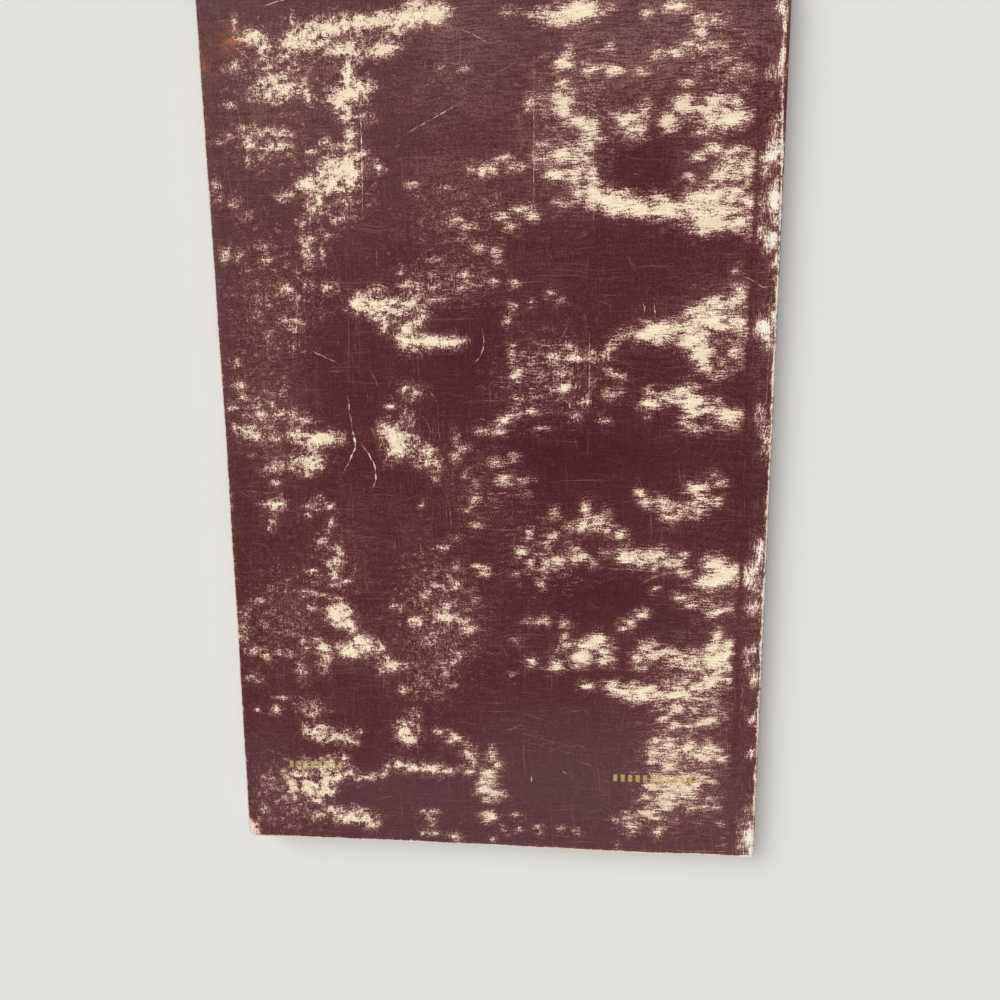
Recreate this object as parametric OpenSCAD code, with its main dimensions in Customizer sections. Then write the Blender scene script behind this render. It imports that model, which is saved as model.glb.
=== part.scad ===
// Softcover owner's manual, perfect bound, lying closed on its front cover.
// Millimetres. +X points to the spine, +Y to the head, +Z up through the back cover.

/* [Trim size] */
// Width of the closed manual, from fore-edge to spine
trim_w = 133.4; // [100:0.2:180]
// Height of the manual, from tail to head
trim_h = 209.6; // [140:0.2:280]

/* [Pages] */
// Leaves in the page block
leaf_count = 72; // [36:1:120]
// Thickness of one leaf
leaf_t = 0.1; // [0.08:0.01:0.16]
// Leaves that lie together as one bundle at the trimmed edges
bundle_leaves = 2; // [1:1:4]
// Furthest that a bundle's edges stand back from the trim line
edge_setback = 0.25; // [0.05:0.05:0.6]
// Radius of the two free page corners, rounded by handling
page_corner_r = 1.6; // [0.6:0.2:5]

/* [Cover card] */
// Thickness of the cover card
card_t = 0.3; // [0.2:0.05:0.6]
// Radius of the two free corners of each cover
cover_corner_r = 1.2; // [0.4:0.2:5]
// Width of the strip beside the spine that is glued down on the pages
strip_w = 6; // [4:0.5:12]
// Width of the pressed score line that a cover folds along
score_w = 0.3; // [0.2:0.05:0.6]
// Height of the fold's axis above the outer face of the cover
score_rise = 0.05; // [0.02:0.01:0.2]
// Outer radius of the two folds along the spine
fold_r = 1.2; // [0.8:0.1:2.5]
// Drop of each glued strip towards the spine, where the block was nipped in binding
spine_nip = 0.6; // [0.2:0.1:1.2]

/* [Binding glue] */
// Thickness of the glue between the page block and the spine
glue_t = 0.5; // [0.3:0.05:1]
// Depth of the notches milled into the back of the page block
notch_depth = 0.8; // [0.4:0.1:1.5]
// Width of one notch
notch_w = 1.2; // [0.8:0.1:2]
// Distance from one notch to the next
notch_pitch = 8; // [5:0.5:16]

/* [Hidden] */
$fn = 48;

// Stack, from the front cover's outer face up
block_t = leaf_count * leaf_t;
total_t = block_t + 2 * card_t;
bundle_count = ceil(leaf_count / bundle_leaves);

// Across the manual
fore_x = -trim_w / 2;
spine_x = trim_w / 2;
score_x = spine_x - strip_w;
glue_x = spine_x - card_t - glue_t;
tail_y = -trim_h / 2;
head_y = trim_h / 2;

// Hinge lines of the two covers
hinge_x = score_x - score_w / 2;
back_hinge_z = total_t + score_rise;
front_hinge_z = -score_rise;

// Folds along the spine: the strip slopes down to a fold that is tangent to strip and spine
slope = atan(spine_nip / strip_w);
fold_x = spine_x - fold_r;
fold_z = total_t - (fold_x - score_x) * tan(slope) - fold_r / cos(slope);

// Notches milled along the back, the same distance from head and tail
notch_count = floor((trim_h - notch_pitch) / notch_pitch) + 1;
notch_y0 = -(notch_count - 1) * notch_pitch / 2;

// How far one bundle's edge stands back: 0 is the fore-edge, 1 the tail and 2 the head
function setback(i, edge) =
    edge_setback * abs(sin(137.5 * i + 61 * edge)) * (0.6 + 0.4 * sin(11 * i + 120 * edge));

// Sheet with two rounded corners on its fore-edge
module sheet_outline(x0, x1, y0, y1, r) {
    translate([x0 + r, y0])
        square([x1 - x0 - r, y1 - y0]);
    translate([x0, y0 + r])
        square([x1 - x0, y1 - y0 - 2 * r]);
    translate([x0 + r, y0 + r])
        circle(r);
    translate([x0 + r, y1 - r])
        circle(r);
}

// Section from left_x to the spine, inset from the cover's outer face, with two round folds
module wrap_section(inset, left_x) {
    r = fold_r - inset;
    bend_x = score_x - inset * tan(slope / 2);
    end_x = fold_x + r * sin(slope);
    end_z = fold_z + r * cos(slope);
    polygon([
        [left_x, inset],
        [bend_x, inset],
        [end_x, total_t - end_z],
        [fold_x + r, total_t - fold_z],
        [fold_x + r, fold_z],
        [end_x, end_z],
        [bend_x, total_t - inset],
        [left_x, total_t - inset]
    ]);
    for (z = [fold_z, total_t - fold_z])
        translate([fold_x, z])
            circle(r);
}

// Section drawn in X and Z, drawn out along Y
module along_y(y0, y1) {
    translate([0, y1, 0])
        rotate([90, 0, 0])
            linear_extrude(y1 - y0)
                children();
}

// Everything the cover wraps around
module wrapped_space() {
    along_y(tail_y - 1, head_y + 1)
        wrap_section(card_t, fore_x - 1);
}

// Ribs of glue, which are also the notches in the page block
module notch_ribs(x1) {
    for (i = [0 : notch_count - 1]) {
        translate([glue_x - notch_depth, notch_y0 + i * notch_pitch - notch_w / 2, 0])
            cube([x1 - glue_x + notch_depth, notch_w, total_t]);
    }
}

// Printed leaves, gathered and trimmed, milled along the back
module page_block() {
    color("ivory")
    difference() {
        intersection() {
            for (i = [0 : bundle_count - 1]) {
                z0 = i * bundle_leaves * leaf_t;
                z1 = min(block_t, z0 + bundle_leaves * leaf_t);
                translate([0, 0, card_t + z0])
                    linear_extrude(z1 - z0)
                        sheet_outline(
                            fore_x + setback(i, 0),
                            glue_x,
                            tail_y + setback(i, 1),
                            head_y - setback(i, 2),
                            page_corner_r
                        );
            }
            wrapped_space();
        }
        notch_ribs(glue_x + 1);
    }
}

// Hot-melt glue that fills the notches and holds the pages and the cover
module binding_glue() {
    color("burlywood")
    intersection() {
        union() {
            translate([glue_x, tail_y + edge_setback, 0])
                cube([glue_t, trim_h - 2 * edge_setback, total_t]);
            notch_ribs(glue_x + glue_t / 2);
        }
        wrapped_space();
    }
}

// Middle of the cover card: the spine and a glued strip on either side of it
module spine() {
    color("#5a3034")
    difference() {
        along_y(tail_y, head_y)
            wrap_section(0, score_x - 1);
        along_y(tail_y - 1, head_y + 1)
            wrap_section(card_t, score_x - 2);
        translate([score_x - 3, tail_y - 1, -1])
            cube([3, trim_h + 2, total_t + 2]);
    }
}

// Back half of the cover card, from its score line to the fore-edge
module back_cover() {
    color("#5a3034")
    translate([0, 0, total_t - card_t])
        linear_extrude(card_t)
            sheet_outline(fore_x, score_x - score_w, tail_y, head_y, cover_corner_r);
}

// Front half of the cover card
module front_cover() {
    color("#5a3034")
    linear_extrude(card_t)
        sheet_outline(fore_x, score_x - score_w, tail_y, head_y, cover_corner_r);
}

page_block();
binding_glue();
spine();
back_cover();
front_cover();
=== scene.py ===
import math

import bpy
import numpy as np
from mathutils import Matrix, Vector


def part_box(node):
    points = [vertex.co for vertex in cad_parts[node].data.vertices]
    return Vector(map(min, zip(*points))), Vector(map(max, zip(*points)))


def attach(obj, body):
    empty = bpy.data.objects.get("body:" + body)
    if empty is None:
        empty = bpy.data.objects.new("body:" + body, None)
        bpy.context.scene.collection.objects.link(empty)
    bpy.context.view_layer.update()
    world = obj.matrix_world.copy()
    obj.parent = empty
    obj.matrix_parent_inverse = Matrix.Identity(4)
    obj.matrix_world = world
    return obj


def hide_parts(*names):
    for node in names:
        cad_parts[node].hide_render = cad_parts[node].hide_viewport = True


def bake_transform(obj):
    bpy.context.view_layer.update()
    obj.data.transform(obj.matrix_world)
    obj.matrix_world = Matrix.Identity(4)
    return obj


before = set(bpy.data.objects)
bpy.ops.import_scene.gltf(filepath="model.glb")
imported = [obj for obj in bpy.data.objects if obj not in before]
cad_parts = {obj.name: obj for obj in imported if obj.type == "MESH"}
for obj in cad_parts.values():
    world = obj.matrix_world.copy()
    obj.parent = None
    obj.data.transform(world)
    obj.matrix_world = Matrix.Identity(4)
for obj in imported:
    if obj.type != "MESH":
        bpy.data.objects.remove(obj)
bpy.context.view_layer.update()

# Page block: leaves of uncoated paper, gathered, glued along the back and trimmed on the other three sides.
# Age has toned the margins, and handling has rounded the free corners and left the leaves a little uneven.
# Towards the fore-edge the leaves lift with the warped back cover; at the spine they are nipped together.
MM = 0.001
leaf_count = 72
leaf_fill = 0.92
leaf_corner_r = 1.6
leaf_shuffle = 0.09
bundle_shuffle = 0.12
bundle_leaves = 7
leaf_seed = 7
nip_share = 0.145
trim_clear = 0.02
lift_power = 3
crown_lift, crown_reach = 0.32, 26
tail_lift, tail_reach = 0.75, 40
head_lift, head_reach = 0.95, 46
corner_reach = 34

block_low, block_high = ([side / MM for side in corner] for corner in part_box("page_block"))
spine_low, spine_high = ([side / MM for side in corner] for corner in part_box("spine"))
fore_x, tail_y, head_y = block_low[0], block_low[1], block_high[1]
spine_x, score_x = spine_high[0], spine_low[0]
book_t = spine_high[2]
block_t = block_high[2] - block_low[2]
leaf_pitch = block_t / leaf_count


def ease(value, start, end):
    """0 before start, 1 after end, with a smooth turn between."""
    t = np.clip((value - start) / (end - start), 0, 1)
    return t * t * (3 - 2 * t)


def cover_lift(x, y):
    """How far handling has warped the back cover away from the flat block, in mm."""
    ripple = 0.25 * np.sin(y / 17 + x / 41) + 0.2 * np.sin(y / 9.5 - x / 23 + 1.1)
    lift = crown_lift * ease(score_x - x, 0, crown_reach) * (1 + ripple)
    for corner_y, height, reach in ((tail_y, tail_lift, tail_reach), (head_y, head_lift, head_reach)):
        lift = lift + height * np.exp(-(((x - fore_x) / corner_reach) ** 2 + ((y - corner_y) / reach) ** 2))
    return lift


def corner_inset(y, r_tail, r_head):
    """How far a rounded corner draws the fore-edge in, near the tail and the head."""
    inset = np.zeros_like(y)
    for r, from_end in ((r_tail, y - tail_y), (r_head, head_y - y)):
        over = np.clip(r - from_end, 0, r)
        inset = inset + (r - np.sqrt(np.maximum(r**2 - over**2, 0)))
    return inset


def sheet_mesh(name, outer, inner, flip=False):
    """Closed sheet from two grids of points (rows along the manual, columns across it), outer face first."""
    rows, columns = outer.shape[:2]
    away = rows * columns
    index = np.arange(away).reshape(rows, columns)
    quads = np.stack([index[:-1, :-1], index[:-1, 1:], index[1:, 1:], index[1:, :-1]], -1).reshape(-1, 4)
    rim = np.concatenate([index[0, :-1], index[:-1, -1], index[-1, :0:-1], index[:0:-1, 0]])
    following = np.roll(rim, -1)
    walls = np.stack([rim, rim + away, following + away, following], -1)
    faces = np.concatenate([quads, quads[:, ::-1] + away, walls])
    if flip:
        faces = faces[:, ::-1]
    mesh = bpy.data.meshes.new(name)
    points = np.concatenate([outer.reshape(-1, 3), inner.reshape(-1, 3)]) * MM
    mesh.from_pydata(points.tolist(), [], faces.tolist())
    kind = np.zeros(len(faces), np.int32)
    kind[len(quads):] = 1
    mesh.polygons.foreach_set("material_index", kind)
    mesh.polygons.foreach_set("use_smooth", np.ones(len(faces), bool))
    mesh.update()
    mesh.set_sharp_from_angle(angle=math.radians(50))
    return mesh


def graded(start, end, step, fine):
    """Grid lines from start to end, with the fine offsets at both ends."""
    low = start + np.array(fine)
    high = end - np.array(fine)[::-1]
    count = int(round((high[0] - low[-1]) / step))
    return np.concatenate([low, np.linspace(low[-1], high[0], count + 1)[1:-1], high])


def paint(red, green, blue):
    """Paint colour from its eight-bit screen values."""
    def linear(v):
        v /= 255
        return v / 12.92 if v <= 0.04045 else ((v + 0.055) / 1.055) ** 2.4
    return (linear(red), linear(green), linear(blue), 1.0)


class Wire:
    """One output of a node; sums written on it add Math nodes."""

    def __init__(self, nodes, socket):
        self.nodes, self.socket = nodes, socket

    def sum(self, operation, first, second=0.0):
        return self.nodes.node("ShaderNodeMath", {"operation": operation}, {0: first, 1: second})

    def __add__(self, other):
        return self.sum("ADD", self, other)

    def __sub__(self, other):
        return self.sum("SUBTRACT", self, other)

    def __rsub__(self, other):
        return self.sum("SUBTRACT", other, self)

    def __mul__(self, other):
        return self.sum("MULTIPLY", self, other)

    def __truediv__(self, other):
        return self.sum("DIVIDE", self, other)

    def __abs__(self):
        return self.sum("ABSOLUTE", self)

    def floor(self):
        return self.sum("FLOOR", self)

    def fraction(self):
        return self.sum("FRACT", self)

    def least(self, other):
        return self.sum("MINIMUM", self, other)

    def most(self, other):
        return self.sum("MAXIMUM", self, other)

    __radd__ = __add__
    __rmul__ = __mul__


class Nodes:
    """A node tree: node() adds any node, sets it, fills its sockets and hands back one of its outputs."""

    def __init__(self, tree):
        self.tree = tree

    def node(self, kind, settings=None, sockets=None, output=0):
        made = self.tree.nodes.new(kind)
        for key, value in (settings or {}).items():
            setattr(made, key, value)
        for key, value in (sockets or {}).items():
            if isinstance(value, Wire):
                self.tree.links.new(value.socket, made.inputs[key])
            else:
                made.inputs[key].default_value = value
        return Wire(self, made.outputs[output]) if len(made.outputs) else None


class Finish(Nodes):
    """A procedural material whose marks are given in millimetres.

    They lie on the object's own coordinates, or on a place stored on the mesh's points, so that they stay with
    those points.
    """

    def __init__(self, name, stored_place=None):
        self.material = bpy.data.materials.new(name)
        self.material.use_nodes = True
        super().__init__(self.material.node_tree)
        self.tree.nodes.clear()
        if stored_place:
            self.place = self.node("ShaderNodeAttribute", {"attribute_name": stored_place}, None, "Vector")
        else:
            metres = self.node("ShaderNodeTexCoord", output="Object")
            self.place = self.node("ShaderNodeVectorMath", {"operation": "MULTIPLY"}, {0: metres, 1: (1 / MM,) * 3})

    def axis(self, name):
        return self.node("ShaderNodeSeparateXYZ", None, {0: self.place}, name)

    def margin(self):
        """How far in from the nearest trimmed edge."""
        x, y = self.axis("X"), self.axis("Y")
        return (x - fore_x).least(y - tail_y).least(head_y - y)

    def attribute(self, name):
        return self.node("ShaderNodeAttribute", {"attribute_name": name}, None, "Fac")

    def cloud(self, size, detail=3.0, rough=0.55, shift=(0, 0, 0), place=None, output=0):
        """Noise whose marks are about size = (x, y, z) millimetres."""
        scaled = self.node("ShaderNodeVectorMath", {"operation": "DIVIDE"}, {0: place or self.place, 1: size})
        moved = self.node("ShaderNodeVectorMath", {"operation": "ADD"}, {0: scaled, 1: shift})
        sockets = {"Vector": moved, "Scale": 1.0, "Detail": detail, "Roughness": rough}
        return self.node("ShaderNodeTexNoise", None, sockets, output)

    def step(self, value, low, high):
        """0 below low, 1 above high; the other way round where low is the larger."""
        smooth = {"interpolation_type": "SMOOTHSTEP"}
        return self.node("ShaderNodeMapRange", smooth, {"Value": value, 1: low, 2: high})

    def blend(self, amount, under, over):
        return self.node("ShaderNodeMix", {"data_type": "RGBA"}, {0: amount, 6: under, 7: over}, 2)

    def bump(self, height, depth, strength=1.0):
        return self.node("ShaderNodeBump", None, {"Strength": strength, "Distance": depth * MM, "Height": height})

    def surface(self, colour, roughness, normal=None, **constants):
        sockets = {"Base Color": colour, "Roughness": roughness}
        sockets.update({key.replace("_", " "): value for key, value in constants.items()})
        if normal is not None:
            sockets["Normal"] = normal
        shader = self.node("ShaderNodeBsdfPrincipled", None, sockets)
        self.node("ShaderNodeOutputMaterial", None, {"Surface": shader})
        return self.material


def page_paper():
    """Aged uncoated paper: toned at the margins, a little dirty on the trimmed edges, each leaf its own shade."""
    fresh, toned, mottle = paint(238, 231, 215), paint(221, 206, 178), paint(208, 190, 160)
    dark_edge, pale_edge = paint(206, 195, 177), paint(235, 227, 211)
    thumb_dirt, speck_dirt = paint(186, 170, 148), paint(150, 132, 112)
    f = Finish("page_paper")
    near_edge = f.step(f.margin() + 5 * f.cloud((9, 9, 9)), 13, 2)
    facing = f.node("ShaderNodeNewGeometry", None, None, "Normal")
    upward = abs(f.node("ShaderNodeSeparateXYZ", None, {0: facing}, "Z"))
    on_edge = f.step(upward, 0.7, 0.3)
    sheet = f.blend(near_edge * 0.6, fresh, toned)
    sheet = f.blend(f.step(f.cloud((2.2, 2.2, 2.2), 4), 0.55, 0.85) * 0.15, sheet, mottle)
    edge = f.blend(f.attribute("leaf_shade"), dark_edge, pale_edge)
    edge = f.blend(f.step(f.cloud((22, 22, 9), 3, 0.55), 0.46, 0.7) * 0.4, edge, thumb_dirt)
    edge = f.blend(f.step(f.cloud((0.5, 0.5, 0.12), 3, 0.6), 0.6, 0.78) * 0.5, edge, speck_dirt)
    colour = f.blend(on_edge, sheet, edge)
    fibre = f.cloud((0.35, 0.5, 0.08), 3)
    return f.surface(colour, 0.88, f.bump(fibre, 0.03, 0.5), Specular_IOR_Level=0.3)


from_fore = [0, 0.4, 1.0, 1.6, 5, 14, 28, 45, 65, 85, 103, 118, 127, 129.5, 131.2]
leaf_across = np.append(np.array(from_fore) + fore_x, block_high[0])
leaf_along = graded(tail_y, head_y, 17, [0, 0.25, 0.8, 1.6, 4])
grid_x, grid_y = np.meshgrid(leaf_across, leaf_along)
near_fore = 1 - ease(grid_x, fore_x, fore_x + 6)
grid_x = grid_x + near_fore * corner_inset(grid_y, leaf_corner_r, leaf_corner_r)
leaf_top = np.stack([grid_x, grid_y, np.full_like(grid_x, leaf_pitch * leaf_fill)], -1)
leaf_under = leaf_top * (1, 1, 0)
leaf = bpy.data.objects.new("leaf", sheet_mesh("leaf", leaf_top, leaf_under))
leaf.data.polygons.foreach_set("material_index", np.zeros(len(leaf.data.polygons), np.int32))


def leaf_stack_tree():
    """Geometry Nodes that pile copies of one leaf, each shifted a little by itself and with its bundle."""
    tree = bpy.data.node_groups.new("leaf_stack", "GeometryNodeTree")
    kinds = {
        "Leaf": "Object", "Leaves": "Int", "Pitch": "Float", "Lowest": "Float", "Leaf Shuffle": "Float",
        "Bundle Shuffle": "Float", "Bundle Leaves": "Float", "Seed": "Int", "Paper": "Material",
    }
    sockets = {
        name: tree.interface.new_socket(name, in_out="INPUT", socket_type="NodeSocket" + kind).identifier
        for name, kind in kinds.items()
    }
    tree.interface.new_socket("Geometry", in_out="OUTPUT", socket_type="NodeSocketGeometry")
    g = Nodes(tree)
    given = {name: g.node("NodeGroupInput", output=name) for name in kinds}

    def arrow(x=0.0, y=0.0, z=0.0):
        return g.node("ShaderNodeCombineXYZ", None, {0: x, 1: y, 2: z})

    def slide(amount, **which):
        """Random slide in the plane of the leaf, up to amount each way."""
        least = amount * -1.0
        ends = {0: arrow(least, least), 1: arrow(amount, amount), "Seed": given["Seed"]}
        return g.node("FunctionNodeRandomValue", {"data_type": "FLOAT_VECTOR"}, {**ends, **which})

    places = g.node("GeometryNodeMeshLine", {"mode": "OFFSET"}, {
        "Count": given["Leaves"], "Start Location": arrow(z=given["Lowest"]), "Offset": arrow(z=given["Pitch"]),
    })
    copy = g.node("GeometryNodeObjectInfo", None, {"Object": given["Leaf"], "As Instance": True}, "Geometry")
    pile = g.node("GeometryNodeInstanceOnPoints", None, {"Points": places, "Instance": copy})
    bundle = (g.node("GeometryNodeInputIndex") / given["Bundle Leaves"]).floor()
    both = g.node("ShaderNodeVectorMath", {"operation": "ADD"}, {
        0: slide(given["Leaf Shuffle"]), 1: slide(given["Bundle Shuffle"], ID=bundle),
    })
    pile = g.node("GeometryNodeTranslateInstances", None, {"Instances": pile, "Translation": both})
    shade = g.node("FunctionNodeRandomValue", {"data_type": "FLOAT"}, {"Seed": given["Seed"]}, 1)
    pile = g.node(
        "GeometryNodeStoreNamedAttribute", {"data_type": "FLOAT", "domain": "INSTANCE"},
        {"Geometry": pile, "Name": "leaf_shade", "Value": shade},
    )
    whole = g.node("GeometryNodeRealizeInstances", None, {"Geometry": pile})
    whole = g.node("GeometryNodeSetMaterial", None, {"Geometry": whole, "Material": given["Paper"]})
    g.node("NodeGroupOutput", None, {0: whole})
    return tree, sockets


def plain_mesh(name, tree, values, sockets):
    """Runs a Geometry Nodes tree and keeps the result as a plain mesh object."""
    holder = bpy.data.objects.new(name, bpy.data.meshes.new(name))
    bpy.context.scene.collection.objects.link(holder)
    modifier = holder.modifiers.new(name, "NODES")
    modifier.node_group = tree
    for key, value in values.items():
        modifier[sockets[key]] = value
    evaluated = holder.evaluated_get(bpy.context.evaluated_depsgraph_get())
    mesh = bpy.data.meshes.new_from_object(evaluated)
    holder.modifiers.clear()
    holder.data = mesh
    return holder


tree, sockets = leaf_stack_tree()
page_leaves = plain_mesh("page_leaves", tree, {
    "Leaf": leaf, "Leaves": leaf_count, "Pitch": leaf_pitch * MM, "Lowest": block_low[2] * MM,
    "Leaf Shuffle": leaf_shuffle * MM, "Bundle Shuffle": bundle_shuffle * MM, "Bundle Leaves": float(bundle_leaves),
    "Seed": leaf_seed, "Paper": page_paper(),
}, sockets)
points = np.empty(len(page_leaves.data.vertices) * 3)
page_leaves.data.vertices.foreach_get("co", points)
points = points.reshape(-1, 3) / MM
height = (points[:, 2] - block_low[2]) / block_t
nip = 1 - nip_share * ease(points[:, 0], score_x - 1, block_high[0])
points[:, 0] = np.maximum(points[:, 0], fore_x + trim_clear)
points[:, 1] = np.clip(points[:, 1], tail_y + trim_clear, head_y - trim_clear)
points[:, 2] = book_t / 2 + (points[:, 2] - book_t / 2) * nip
points[:, 2] += cover_lift(points[:, 0], points[:, 1]) * height**lift_power
points[:, 0] = np.minimum(points[:, 0], block_high[0])
page_leaves.data.vertices.foreach_set("co", (points * MM).ravel())
page_leaves.data.update()
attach(page_leaves, "block")
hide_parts("page_block")


# Binding glue: a strip of hot-melt glue run into the milled notches of the block, which holds leaves and cover.
# It shows only at head and tail, as a dull amber line between the leaf ends and the spine.
def hot_melt():
    """Cloudy amber glue with a little dust in it."""
    f = Finish("hot_melt")
    cloudy = f.cloud((1.5, 3, 1.5), 4)
    colour = f.blend(cloudy, paint(186, 150, 92), paint(222, 200, 152))
    dusty = f.step(f.cloud((0.6, 0.6, 0.6), 3), 0.5, 0.75) * 0.4
    colour = f.blend(dusty, colour, paint(148, 120, 88))
    return f.surface(colour, 0.45 + 0.3 * cloudy, f.bump(cloudy, 0.1))


glue_finish = hot_melt()
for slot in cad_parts["binding_glue"].material_slots:
    slot.material = glue_finish


# Cover card, back half: cream card printed dark maroon all over one side, scored for the hinge and folded round
# the spine. The ink has rubbed off in scuffs down to the card, most along the folds, edges and high spots.
# Each scuff is listed: place, half length, half width, how bare it is, and its turn in degrees if any.
card_t = 0.3
fold_r = 1.2
strip_drop = 0.6
score_half = 0.15
bend = 0.75
groove_d, groove_w = 0.1, 0.3
fore_nick, trim_nick = 0.07, 0.06
frayed_rim, rim_share, overlap = 1.6, 0.36, 4
taper_share, thin_end = 0.25, 0.35
fluff_from, fluff_full = 61.8, 63.4
hinge_x = score_x - score_half
slope = math.atan(strip_drop / (spine_x - score_x))
fold_x = spine_x - fold_r
fold_z = book_t - (fold_x - score_x) * math.tan(slope) - fold_r / math.cos(slope)
strip_end = fold_x + fold_r * math.sin(slope)

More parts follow.
